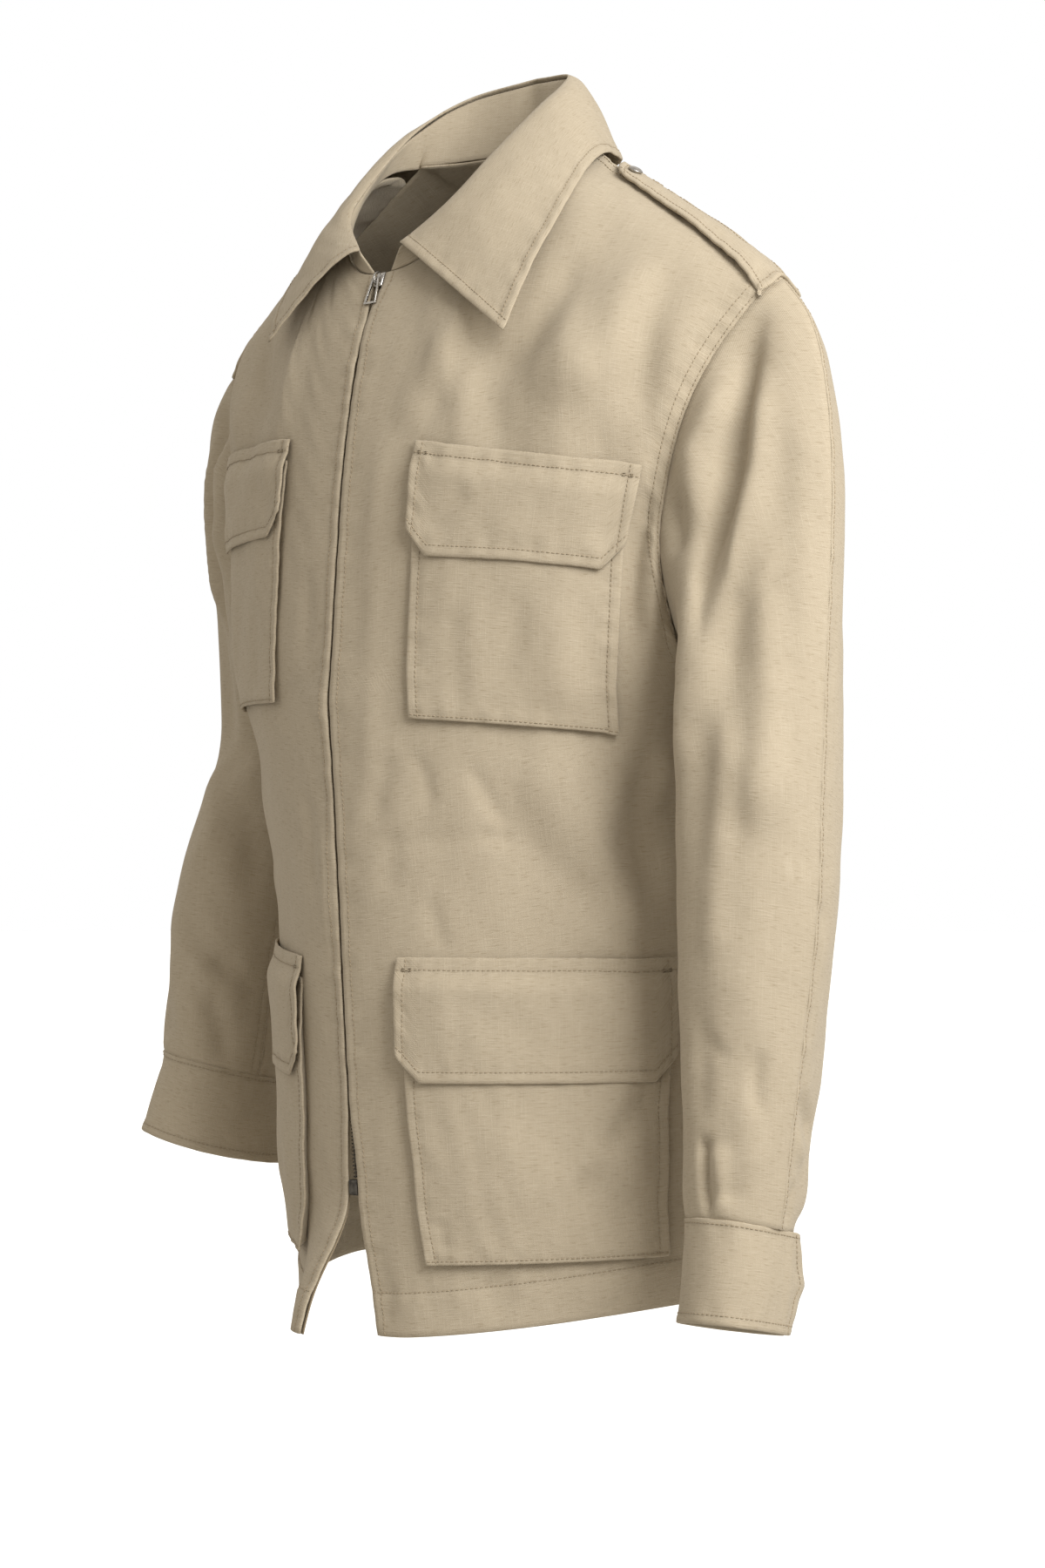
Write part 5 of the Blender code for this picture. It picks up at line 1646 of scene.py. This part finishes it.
@dataclass(frozen=True)
class CottonFinish:
    """Slubby cotton cloth, with painted shade along its rows of stitches.

    Attributes:
        name: name of the material.
        light: colour of the raised yarns.
        dark: colour between the yarns.
        yarn: distance from one yarn to the next.
        slub: strength of the thicker stretches of yarn.
        slubs: thicker stretches of the crosswise yarns.
        gaps: thinner stretches of the crosswise yarns.
        warps: thicker stretches of the lengthwise yarns.
        clouds: broad change of tone.
        specks: single fibres.
        tone: lightness with no yarn raised, from dark to light.
        weave_tone: how much a raised yarn lightens the cloth.
        weave_height: how much it raises the cloth.
        roughness: how rough the plain cloth is.
        painted_seam_shade: how much painted shade darkens the cloth along a row of stitches.
        painted_seam_dark: colour of that painted shade, as a share of the dark colour.
        relief: height of the yarns.
        sheen: colour of the soft light that the fibres scatter.
    """

    name: str
    light: tuple[float, float, float]
    dark: tuple[float, float, float]
    yarn: float = 0.0010
    slub: float = 1.0
    slubs: Speckle = Speckle((85.0, 1150.0, 1.0), (0.5, 0.75), tone=0.24, height=0.5, rough=-0.10)
    gaps: Speckle = Speckle((140.0, 1250.0, 3.0), (0.57, 0.70), tone=-0.48)
    warps: Speckle = Speckle((900.0, 45.0, 1.0), (0.5, 0.78), tone=0.16, height=0.35)
    clouds: Speckle = Speckle((14.0, 9.0, 1.0), detail=3.0, tone=0.16, rough=-0.08)
    specks: Speckle = Speckle((1100.0, 1100.0, 1.0), detail=1.0, tone=0.30, height=0.3)
    tone: float = 0.20
    weave_tone: float = 0.10
    weave_height: float = 0.22
    roughness: float = 0.92
    painted_seam_shade: float = 0.10
    painted_seam_dark: float = 0.45
    relief: float = 0.00022
    sheen: tuple[float, float, float] = (0.95, 0.90, 0.80)

    def make(self) -> bpy.types.Material:
        """Builds the material.

        Returns:
            The new material.
        """
        paint = Paint(self.name)
        places = paint.node("ShaderNodeUVMap", {"uv_map": "pattern"})
        split = paint.node("ShaderNodeSeparateXYZ", {}, {0: places})
        upright = Wire(paint, split.socket.node.outputs[SECOND_PART])
        turns = 2 * math.pi / self.yarn
        weave = ((split - upright) * turns).sine()
        slub = self.slubs.spread(paint, places) * self.slub
        gap = self.gaps.spread(paint, places) * self.slub
        warp = self.warps.spread(paint, places) * self.slub
        cloud = self.clouds.spread(paint, places)
        speck = self.specks.spread(paint, places)
        tone = weave * self.weave_tone + slub * self.slubs.tone + gap * self.gaps.tone
        tone = tone + warp * self.warps.tone + speck * self.specks.tone + cloud * self.clouds.tone + self.tone
        colour = paint.mix(tone.between(0.0, 1.0), (*self.dark, 1.0), (*self.light, 1.0))
        # Painted shade: the grooves of the stitch rows are darkened in the cloth's colour.
        groove_shade_mask = paint.node("ShaderNodeAttribute", {"attribute_name": "painted_seam_shade"}, output=STORED_VALUE)
        groove_shade_colour = (*(self.painted_seam_dark * part for part in self.dark), 1.0)
        colour = paint.mix(groove_shade_mask * self.painted_seam_shade, colour, groove_shade_colour)
        height = weave * self.weave_height + slub * self.slubs.height
        height = height + warp * self.warps.height + speck * self.specks.height
        paint.surface(
            Base_Color=colour,
            Roughness=slub * self.slubs.rough + cloud * self.clouds.rough + self.roughness,
            Normal=paint.bump(height, self.relief, strength=0.8),
            Sheen_Weight=0.18,
            Sheen_Roughness=0.45,
            Sheen_Tint=(*self.sheen, 1.0),
            Specular_IOR_Level=0.25,
        )
        return paint.material


@dataclass(frozen=True)
class ThreadFinish:
    """Sewing thread.

    Attributes:
        name: name of the material.
        colour: the thread's own colour, darkened further to paint in the shade of its needle holes.
        darker: its darkest colour as a share of that colour.
        strands: change of tone along the thread.
        roughness: how rough the thread is.
    """

    name: str
    colour: tuple[float, float, float]
    darker: float = 0.72
    strands: Speckle = Speckle((420.0, 420.0, 420.0), detail=1.0, rough=0.2)
    roughness: float = 0.55

    def make(self) -> bpy.types.Material:
        """Builds the material.

        Returns:
            The new material.
        """
        paint = Paint(self.name)
        change = self.strands.spread(paint, paint.places())
        dark = (*(self.darker * part for part in self.colour), 1.0)
        paint.surface(
            Base_Color=paint.mix(change, dark, (*self.colour, 1.0)),
            Roughness=change * self.strands.rough + self.roughness,
            Sheen_Weight=0.1,
        )
        return paint.material


@dataclass(frozen=True)
class MetalFinish:
    """Plated or tarnished metal.

    Attributes:
        name: name of the material.
        colour: colour of the bright metal.
        tarnish: colour of the duller patches.
        roughness: how rough the bright metal is.
        patches: where the metal is dull.
        scratches: fine lines across the piece.
        relief: height of the lines.
    """

    name: str
    colour: tuple[float, float, float]
    tarnish: tuple[float, float, float]
    roughness: float
    patches: Speckle = Speckle((260.0, 260.0, 260.0), (0.42, 0.72), detail=3.0, rough=0.16)
    scratches: Speckle = Speckle((900.0, 900.0, 5200.0), rough=0.10)
    relief: float = 0.00003

    def make(self) -> bpy.types.Material:
        """Builds the material.

        Returns:
            The new material.
        """
        paint = Paint(self.name)
        places = paint.places()
        patch = self.patches.spread(paint, places)
        scratch = self.scratches.spread(paint, places)
        smoothest = self.roughness - self.scratches.rough / 2
        paint.surface(
            Base_Color=paint.mix(patch, (*self.colour, 1.0), (*self.tarnish, 1.0)),
            Metallic=1.0,
            Roughness=patch * self.patches.rough + scratch * self.scratches.rough + smoothest,
            Normal=paint.bump(scratch, self.relief, strength=0.5),
        )
        return paint.material


@dataclass(frozen=True)
class FloorFinish:
    """A plain pale studio floor.

    Attributes:
        name: name of the material.
        colour: colour of the floor.
        glow: light that the sweep adds to it.
    """

    name: str = "studio_floor"
    colour: tuple[float, float, float] = (0.62, 0.61, 0.59)
    glow: tuple[float, float, float] = (0.90, 0.90, 0.90)

    def make(self) -> bpy.types.Material:
        """Builds the material.

        Returns:
            The new material.
        """
        paint = Paint(self.name)
        seen = paint.node("ShaderNodeLightPath")
        glow = paint.mix(seen, (0.0, 0.0, 0.0, 1.0), (*self.glow, 1.0))
        paint.surface(Base_Color=(*self.colour, 1.0), Roughness=0.9, Specular_IOR_Level=0.1)
        paint.surface(Emission_Color=glow, Emission_Strength=1.0)
        return paint.material


@dataclass
class Studio:
    """Floor, light and camera of the picture.

    Attributes:
        azimuth: angle of the camera round the jacket, in degrees.
        distance: distance of the camera from the jacket's upright axis.
        camera_z: height of the camera.
        pixels_per_metre: scale of the picture at the axis.
        axis_x: picture column of the axis.
        horizon_y: picture row of the camera's height.
        picture: width and height of the picture in pixels.
        sensor: width of the camera's sensor in millimetres.
        clip_end: distance up to which the camera sees.
        floor_z: height of the floor.
        floor_half: half of the floor's width.
        world_strength: strength of the light from all round.
        world_colour: colour of that light.
        target_z: height of the place that the key light looks at.
        key_azimuth: angle of the key light round the jacket, in degrees.
        key_rise: height of the key light above that place.
        key_distance: its level distance from the jacket's axis.
        key_power: its power in watts.
        key_size: its width.
    """

    azimuth: float = PICTURE_AZIMUTH
    distance: float = 2.3
    camera_z: float = -0.4855
    pixels_per_metre: float = 1720.0
    axis_x: float = 566.0
    horizon_y: float = 1020.0
    picture: tuple[int, int] = (1200, 1800)
    sensor: float = 36.0
    clip_end: float = 200.0
    floor_z: float = -1.46
    floor_half: float = 60.0
    world_strength: float = 0.73
    world_colour: tuple[float, float, float] = (1.0, 0.95, 0.88)
    target_z: float = -0.35
    key_azimuth: float = 80.0
    key_rise: float = 0.85
    key_distance: float = 1.75
    key_power: float = 44.0
    key_size: float = 1.1

    @staticmethod
    def towards(azimuth: float) -> Vector:
        """Level direction from the jacket at an angle round it."""
        turn = math.radians(azimuth)
        return Vector((math.sin(turn), -math.cos(turn), 0.0))

    def add_camera(self) -> None:
        """Adds the camera at the photograph's angle and framing."""
        data = bpy.data.cameras.new("camera")
        camera = bpy.data.objects.new("camera", data)
        bpy.context.scene.collection.objects.link(camera)
        back = self.towards(self.azimuth)
        camera.location = back * self.distance + Vector((0.0, 0.0, self.camera_z))
        camera.rotation_mode = "QUATERNION"
        camera.rotation_quaternion = (-back).to_track_quat("-Z", "Y")
        width, height = self.picture
        data.sensor_width = self.sensor
        data.lens = self.pixels_per_metre * self.distance / height * self.sensor
        data.shift_x = (width / 2 - self.axis_x) / height
        data.shift_y = (self.horizon_y - height / 2) / height
        data.clip_end = self.clip_end
        bpy.context.scene.camera = camera

    def add_light(self) -> None:
        """Adds the key light, one square soft light that looks at the jacket."""
        target = Vector((0.0, 0.0, self.target_z))
        aside = self.towards(self.key_azimuth) * self.key_distance
        place = target + aside + Vector((0.0, 0.0, self.key_rise))
        data = bpy.data.lights.new("key", "AREA")
        data.size = self.key_size
        data.energy = self.key_power
        light = bpy.data.objects.new("key", data)
        bpy.context.scene.collection.objects.link(light)
        light.location = place
        light.rotation_mode = "QUATERNION"
        light.rotation_quaternion = (target - place).to_track_quat("-Z", "Y")

    def add_floor(self) -> None:
        """Adds the floor."""
        bpy.ops.mesh.primitive_plane_add(size=2 * self.floor_half, location=(0.0, 0.0, self.floor_z))
        floor = bpy.context.active_object
        floor.name = "studio_floor"
        bpy.ops.object.transform_apply(location=True, rotation=True, scale=True)
        floor.data.materials.append(FloorFinish().make())

    def add_world(self) -> None:
        """Adds the light from all round, which the camera sees as plain white."""
        world = bpy.data.worlds.new("studio")
        world.use_nodes = True
        background = world.node_tree.nodes["Background"]
        light_path = world.node_tree.nodes.new("ShaderNodeLightPath")
        colour = world.node_tree.nodes.new("ShaderNodeMix")
        colour.data_type = "RGBA"
        light = (*(self.world_strength * part for part in self.world_colour), 1.0)
        colour.inputs[MIX_FIRST].default_value = light
        colour.inputs[MIX_SECOND].default_value = (1.0, 1.0, 1.0, 1.0)
        world.node_tree.links.new(light_path.outputs["Is Camera Ray"], colour.inputs[MIX_FACTOR])
        world.node_tree.links.new(colour.outputs[MIX_RESULT], background.inputs["Color"])
        bpy.context.scene.world = world

    def build(self) -> None:
        """Adds floor, world, light and camera."""
        self.add_floor()
        self.add_world()
        self.add_light()
        self.add_camera()
        bpy.context.scene.view_settings.view_transform = "Standard"


@dataclass
class Jacket:
    """All cloth pieces of the jacket with their sewing.

    Attributes:
        cotton: finish of the cloth.
        tape: finish of the zip tapes.
        thread: finish of the sewing thread.
        flap_edge_lift: height of a flap's edges above those of its pocket.
        flap_lift: height of a flap's middle above that of its pocket.
        strap_shift: how far the epaulettes lie from their solids.
        pieces: the cloth pieces in the order they are made.
    """

    cotton: CottonFinish = CottonFinish("cotton", (0.50, 0.432, 0.325), (0.33, 0.270, 0.186))
    tape: CottonFinish = CottonFinish("zip_tape", (0.36, 0.29, 0.19), (0.22, 0.17, 0.11), 0.0011, 0.3)
    # The thread's colour is its own tone darkened with painted shade of the needle holes.
    thread: ThreadFinish = ThreadFinish("thread", (0.37, 0.292, 0.19))
    flap_edge_lift: float = 0.0026
    flap_lift: float = 0.0022
    strap_shift: tuple[float, float, float] = (0.0, 0.008, 0.0)
    pieces: list[ClothPiece] = field(default_factory=list)

    @staticmethod
    def edges(side: str) -> tuple[Edge, Edge]:
        """The edges of a side's pieces towards the zip and away from it."""
        return (Edge.LEFT, Edge.RIGHT) if side == "left" else (Edge.RIGHT, Edge.LEFT)

    def body(self) -> list[ClothPiece]:
        """Plans the two fronts and the back.

        Returns:
            The three pieces.
        """
        creases = {"left": FRONT_LEFT_CREASES, "right": FRONT_RIGHT_CREASES + FRONT_RIGHT_HIDDEN}
        shoulders = {"left": (1 - SHOULDER_SHARE, 1.0), "right": (0.0, SHOULDER_SHARE)}
        hem = Sewing(Edge.LOW, HEM_ROWS, puff=0.0009)
        made = []
        for side in SIDES:
            inner, outer = self.edges(side)
            made.append(
                ClothPiece(
                    f"front_{side}",
                    Facing.FRONT,
                    sewing=(
                        Sewing(inner, PLACKET_ROWS),
                        hem,
                        Sewing(outer, ARMHOLE_ROWS, span=ARMHOLE_SPAN),
                        Sewing(Edge.HIGH, SEAM_ROWS, span=shoulders[side]),
                    ),
                    creases=creases[side],
                    seed=3 + len(made),
                )
            )
        armholes = tuple(Sewing(edge, ARMHOLE_ROWS, span=ARMHOLE_SPAN) for edge in (Edge.LEFT, Edge.RIGHT))
        made.append(ClothPiece("back", Facing.BACK, sewing=(hem, *armholes), creases=BACK_CREASES, seed=5))
        return made

    def sleeves(self) -> list[ClothPiece]:
        """Plans the four sleeve halves and both cuffs.

        Returns:
            The six pieces.
        """
        made = []
        creases = {
            "left_front": SLEEVE_LEFT_FRONT_CREASES,
            "left_back": SLEEVE_LEFT_BACK_CREASES + SLEEVE_BACK_CREASES,
            "right_front": SLEEVE_RIGHT_FRONT_CREASES + SLEEVE_RIGHT_FRONT_HIDDEN,
            "right_back": tuple(crease.mirrored(strength=0.9) for crease in SLEEVE_BACK_CREASES),
        }
        halves = (("front", Facing.FRONT, SEAM_ROWS, 0.0004), ("back", Facing.BACK, CLOSE_ROWS, 0.0006))
        for side in SIDES:
            inner, outer = self.edges(side)
            for half, facing, rows, puff in halves:
                made.append(
                    ClothPiece(
                        f"sleeve_{side}_{half}",
                        facing,
                        sewing=(Sewing(inner, rows, puff=puff),),
                        creases=creases[f"{side}_{half}"],
                        sleeve_fit=SLEEVE_FITS[side],
                        seed=6 + len(made),
                    )
                )
            cuff = CuffPiece(
                f"cuff_{side}",
                Facing.ROUND,
                spacing=0.0026,
                sewing=(
                    Sewing(Edge.LOW, CUFF_LOW_ROWS),
                    Sewing(Edge.HIGH, CUFF_HIGH_ROWS),
                    Sewing(outer, CUFF_END_ROWS),
                    Sewing(inner, CUFF_END_ROWS),
                ),
                crumple=0.0003,
                sleeve_fit=SLEEVE_FITS[side],
                seed=20 + len(made),
            )
            made.append(cuff)
        return made

    def collar(self) -> list[ClothPiece]:
        """Plans the collar's stand and fall.

        Returns:
            The two pieces.
        """
        stand = ClothPiece("collar_stand", Facing.ROUND, spacing=0.0026, crumple=0.0002, seed=31)
        fall = ClothPiece(
            "collar_fall",
            Facing.ROUND,
            held="folded",
            spacing=0.0026,
            sewing=tuple(Sewing(edge, COLLAR_ROWS) for edge in (Edge.LOW, Edge.LEFT, Edge.RIGHT)),
            creases=COLLAR_FALL_CREASES + self.on_side(COLLAR_FALL_CREASES, "right"),
            crumple=0.0004,
            seed=32,
        )
        return [stand, fall]

    @staticmethod
    def on_side(creases: tuple[Crease, ...], side: str) -> tuple[Crease, ...]:
        """Creases of the left-hand piece as they are, or mirrored for the right-hand one."""
        return creases if side == "left" else tuple(crease.mirrored(MIRRORED) for crease in creases)

    def pockets(self) -> list[ClothPiece]:
        """Plans the four pockets with their flaps.

        Returns:
            The eight pieces, every pocket before its flap.
        """
        made = []
        for side in SIDES:
            _, outer = self.edges(side)
            shared = {"held": "laid", "rests_on": (f"front_{side}",), "fit": Fit.ROUNDED, "spacing": 0.0022}
            for place, (edge_stand, stand) in POCKET_STANDS.items():
                pocket = LaidPiece(
                    f"pocket_{place}_{side}",
                    Facing.FRONT,
                    **shared,
                    edge_stand=edge_stand,
                    stand=stand,
                    tip=outer,
                    lengthen=POCKET_REACHES[place],
                    tilt=POCKET_TILTS[f"{place}_{side}"],
                    sewing=(
                        Sewing(Edge.LEFT, POCKET_ROWS, puff=0.0004),
                        Sewing(Edge.RIGHT, POCKET_ROWS, puff=0.0004),
                        Sewing(Edge.LOW, CLOSE_ROWS, puff=0.0002),
                    ),
                    creases=self.on_side(POCKET_CREASES[place], side),
                    seed=40 + len(made),
                )
                flap = LaidPiece(
                    f"flap_{place}_{side}",
                    Facing.FRONT,
                    **shared,
                    rounding=4,
                    edge_stand=edge_stand + self.flap_edge_lift,
                    stand=stand + self.flap_lift,
                    rise=0.022,
                    hang=0.0012,
                    tip=outer,
                    lengthen=FLAP_REACHES[place],
                    tilt=FLAP_TILTS[f"{place}_{side}"],
                    sewing=(
                        *(Sewing(edge, FLAP_ROWS) for edge in (Edge.LEFT, Edge.RIGHT, Edge.LOW)),
                        Sewing(Edge.HIGH, FLAP_SEAM_ROWS, tack=0.0095),
                    ),
                    creases=self.on_side(FLAP_CREASES[place], side),
                    crumple=0.0004,
                    seed=40 + len(made),
                )
                made += [pocket, flap]
        return made

    def straps(self) -> list[ClothPiece]:
        """Plans both epaulettes and both zip tapes.

        Returns:
            The four pieces.
        """
        made = []
        for side in SIDES:
            _, tip = self.edges(side)
            made.append(
                LaidPiece(
                    f"epaulette_{side}",
                    Facing.UP,
                    held="laid",
                    rests_on=(f"front_{side}", "back"),
                    thickness=STRAP_CLOTH,
                    spacing=0.0022,
                    upward=(0.0, 1.0, 0.0),
                    gap=0.0026,
                    edge_stand=0.0044,
                    stand=0.0048,
                    rise=0.03,
                    rounding=14,
                    sewn=tip,
                    tip=tip,
                    lengthen=STRAP_REACHES[side],
                    shift=self.strap_shift,
                    sewing=tuple(Sewing(edge, STRAP_ROWS) for edge in Edge),
                    crumple=0.0002,
                    seed=60 + len(made),
                )
            )
            made.append(
                ClothPiece(
                    f"tape_{side}",
                    Facing.FRONT,
                    rests_on=(f"front_{side}",),
                    thickness=TAPE_CLOTH,
                    spacing=0.0035,
                    crumple=0.0,
                    seed=60 + len(made),
                )
            )
        return made

    def build(self, frame: dict) -> None:
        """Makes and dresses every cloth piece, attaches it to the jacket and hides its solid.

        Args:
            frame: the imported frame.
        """
        cotton, tape, thread = self.cotton.make(), self.tape.make(), self.thread.make()
        stitcher = Stitcher()
        self.pieces = self.body() + self.sleeves() + self.collar() + self.pockets() + self.straps()
        made: dict[str, ClothPiece] = {}
        for cloth in self.pieces:
            cloth.shape(frame, made)
            made[cloth.node] = cloth
            piece = cloth.build()
            piece.data.materials.append(tape if cloth.node.startswith("tape") else cotton)
            extra = self.sew(cloth, stitcher, thread)
            if cloth.node.startswith("pocket"):
                gusset = cloth.gusset()
                gusset.data.materials.append(cotton)
                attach(gusset, JACKET_BODY)
                extra.append(gusset)
            cloth.declare(extra)
            LOG.info("%s: %d faces", piece.name, len(piece.data.polygons))

    def sew(
        self,
        cloth: ClothPiece,
        stitcher: Stitcher,
        thread: bpy.types.Material,
    ) -> list[bpy.types.Object]:
        """Sews all rows of one cloth piece.

        Args:
            cloth: the shaped piece.
            stitcher: what sews.
            thread: material of the thread.

        Returns:
            The stitches as one piece, or nothing where the cloth has no rows.
        """
        lines = []
        for sewing in cloth.sewing:
            lines += [cloth.line(sewing.edge, row, sewing.span) for row in sewing.rows]
            if sewing.tack:
                lines += self.bar_tacks(cloth, sewing)
        if not lines:
            return []
        sewn = stitcher.sew(f"stitches_{cloth.node}", lines)
        sewn.data.materials.append(thread)
        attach(sewn, JACKET_BODY)
        return [sewn]

    @staticmethod
    def bar_tacks(cloth: ClothPiece, sewing: Sewing) -> list[tuple[np.ndarray, np.ndarray]]:
        """Lays short double lines of stitches at both ends of a row.

        Args:
            cloth: the shaped piece.
            sewing: the row and the sizes of its bars.

        Returns:
            Points and normals of every line.
        """
        lines = []
        for away in (sewing.rows[0] - sewing.tack_gap, sewing.rows[0] + sewing.tack_gap):
            points, normals = cloth.line(sewing.edge, away)
            length = arc_lengths(points[:, None], 0)[:, 0]
            for ahead in (length - sewing.tack_start, length[-1] - sewing.tack_start - length):
                near = (ahead >= 0) & (ahead < sewing.tack)
                lines += [(points[near], normals[near])] * 2
        return lines


@dataclass
class Hardware:
    """Zip, pull tab and snaps in metal.

    Attributes:
        silver: finish of the bright pieces.
        dark: finish of the teeth and the bottom slider.
        dark_nodes: nodes of the dark pieces.
        tooth_size: width, height and thickness of a tooth.
        tooth_pitch: distance from one tooth to the next along the zip.
        tooth_shift: distance between the middles of the two rows.
        tooth_rounding: width of a tooth's rounded edges.
        roundings: width of the rounded edges of the pieces, by node.
        sharp: angle from which an edge is rounded, in degrees.
        smooth: angle up to which faces are shaded smoothly, in degrees.
        front_facing: least share of a face's direction that points to the front on a slider's front.
        rim: width of the flat rim round a slider's sunk field.
        slope: width of the slope into that field.
        sunk: depth of that field.
        merge: distance at which double points are merged.
    """

    silver: MetalFinish = MetalFinish("silver", (0.55, 0.53, 0.50), (0.30, 0.285, 0.265), 0.20)
    dark: MetalFinish = MetalFinish("dark_metal", (0.13, 0.12, 0.105), (0.06, 0.055, 0.05), 0.42)
    dark_nodes: tuple[str, ...] = ("chain", "slider_bottom")
    tooth_size: tuple[float, float, float] = (0.0024, 0.0009, 0.0016)
    tooth_pitch: float = 0.00115
    tooth_shift: float = 0.0014
    tooth_rounding: float = 0.00022
    roundings: dict[str, float] = field(
        default_factory=lambda: {
            "slider_top": 0.0004,
            "bail_top": 0.00022,
            "pull_tab": 0.00022,
            "snap_left": 0.0004,
            "snap_right": 0.0004,
            "slider_bottom": 0.0004,
        }
    )
    sharp: float = 25.0
    smooth: float = 35.0
    front_facing: float = 0.85
    rim: float = 0.0007
    slope: float = 0.0003
    sunk: float = 0.0004
    merge: float = 1e-6

    def build(self, frame: dict) -> None:
        """Makes the hard pieces.

        Args:
            frame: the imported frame.
        """
        silver, dark = self.silver.make(), self.dark.make()
        for name, rounding in self.roundings.items():
            piece = self.rounded_copy(frame["nodes"][name], rounding)
            if name.startswith("slider"):
                self.sink_face(piece)
            self.dress(piece, name, dark if name in self.dark_nodes else silver)
        self.dress(self.teeth(frame["nodes"]["chain"]), "chain", dark)

    def dress(self, piece: bpy.types.Object, node: str, metal: bpy.types.Material) -> None:
        """Args:
            piece: the piece.
            node: the node that it stands for.
            metal: its material.
        """
        piece.data.materials.clear()
        piece.data.materials.append(metal)
        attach(piece, PULL_BODY if node == "pull_tab" else JACKET_BODY)
        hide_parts(node)
        self.dark.name if node in self.dark_nodes else self.silver.name

    @staticmethod
    def start_edit(piece: bpy.types.Object) -> None:
        """Opens one piece for editing with nothing selected.

        Args:
            piece: the piece.
        """
        bpy.ops.object.select_all(action="DESELECT")
        piece.select_set(True)
        bpy.context.view_layer.objects.active = piece
        bpy.ops.object.mode_set(mode="EDIT")
        bpy.ops.mesh.select_all(action="DESELECT")

    def rounded_copy(self, node: bpy.types.Object, offset: float) -> bpy.types.Object:
        """A copy of a solid with merged points and rounded edges.

        Args:
            node: the solid.
            offset: width of the rounding.

        Returns:
            The new piece.
        """
        piece = node.copy()
        piece.data = node.data.copy()
        piece.name = f"metal_{node.name}"
        bpy.context.scene.collection.objects.link(piece)
        piece.data.transform(node.matrix_world)
        piece.parent = None
        piece.matrix_world.identity()
        piece.hide_render = False
        self.start_edit(piece)
        bpy.ops.mesh.select_all(action="SELECT")
        bpy.ops.mesh.remove_doubles(threshold=self.merge)
        bpy.ops.mesh.normals_make_consistent(inside=False)
        bpy.ops.mesh.tris_convert_to_quads()
        bpy.ops.mesh.select_all(action="DESELECT")
        bpy.ops.mesh.select_mode(type="EDGE")
        bpy.ops.mesh.edges_select_sharp(sharpness=math.radians(self.sharp))
        bpy.ops.mesh.bevel(offset=offset, segments=2, affect="EDGES", clamp_overlap=True)
        bpy.ops.object.mode_set(mode="OBJECT")
        bpy.ops.object.shade_smooth_by_angle(angle=math.radians(self.smooth))
        return piece

    def sink_face(self, piece: bpy.types.Object) -> None:
        """Sinks a shallow field into the front face of a slider.

        Args:
            piece: the slider.
        """
        faces = [face for face in piece.data.polygons if face.normal.y < -self.front_facing]
        front = max(faces, key=lambda face: face.area).index
        self.start_edit(piece)
        bpy.ops.mesh.select_mode(type="FACE")
        bpy.ops.object.mode_set(mode="OBJECT")
        piece.data.polygons[front].select = True
        bpy.ops.object.mode_set(mode="EDIT")
        bpy.ops.mesh.inset(thickness=self.rim, depth=0.0)
        bpy.ops.mesh.inset(thickness=self.slope, depth=-self.sunk)
        bpy.ops.object.mode_set(mode="OBJECT")

    def tooth(self) -> tuple[np.ndarray, np.ndarray]:
        """Models one zip tooth, a block with rounded edges.

        Returns:
            Its points and triangles.
        """
        bpy.ops.mesh.primitive_cube_add(size=1.0)
        piece = bpy.context.active_object
        self.start_edit(piece)
        bpy.ops.mesh.select_all(action="SELECT")
        bpy.ops.transform.resize(value=self.tooth_size)
        bpy.ops.mesh.bevel(offset=self.tooth_rounding, segments=1, affect="EDGES", clamp_overlap=True)
        bpy.ops.mesh.select_all(action="SELECT")
        bpy.ops.mesh.quads_convert_to_tris()
        bpy.ops.object.mode_set(mode="OBJECT")
        points = np.array([tuple(vertex.co) for vertex in piece.data.vertices])
        faces = np.array([tuple(face.vertices) for face in piece.data.polygons])
        bpy.data.objects.remove(piece, do_unlink=True)
        return points, faces

    def teeth(self, chain: bpy.types.Object) -> bpy.types.Object:
        """Sets two rows of teeth that close the zip along its solid bar.

        Args:
            chain: the solid bar.

        Returns:
            The teeth as one piece.
        """
        grid = GridReader(chain, Facing.FRONT, CHAIN_THICK).read()
        normals = ClothPiece.grid_normals(grid).mean(axis=0)
        line = grid.mean(axis=0) - normals * CHAIN_THICK / 2
        across = unit(grid[-1] - grid[0])
        length = arc_lengths(line[:, None], 0)[:, 0]
        count = int(length[-1] / self.tooth_pitch)
        at = (np.arange(count) + 0.5) * length[-1] / count
        side = np.where(np.arange(count) % 2, 0.5, -0.5)[:, None] * self.tooth_shift
        right = unit(straight(length, across, at))
        normal = unit(straight(length, normals, at))
        middle = straight(length, line, at) + right * side
        shape, faces = self.tooth()
        axes = np.stack([right, np.cross(normal, right), normal], axis=1)
        points = middle[:, None] + np.einsum("pk,nkd->npd", shape, axes)
        numbers = faces[None] + (np.arange(count) * len(shape))[:, None, None]
        return MeshMaker.add("metal_teeth", points.reshape(-1, 3), numbers.reshape(-1, 3), smooth=False)


def main() -> None:
    """Builds the jacket round the frame, then the studio."""
    logging.basicConfig(level=logging.INFO, format="%(name)s %(message)s")
    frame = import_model()
    bpy.ops.object.select_all(action="DESELECT")
    Jacket().build(frame)
    Hardware().build(frame)
    Studio().build()


if __name__ == "__main__":
    main()
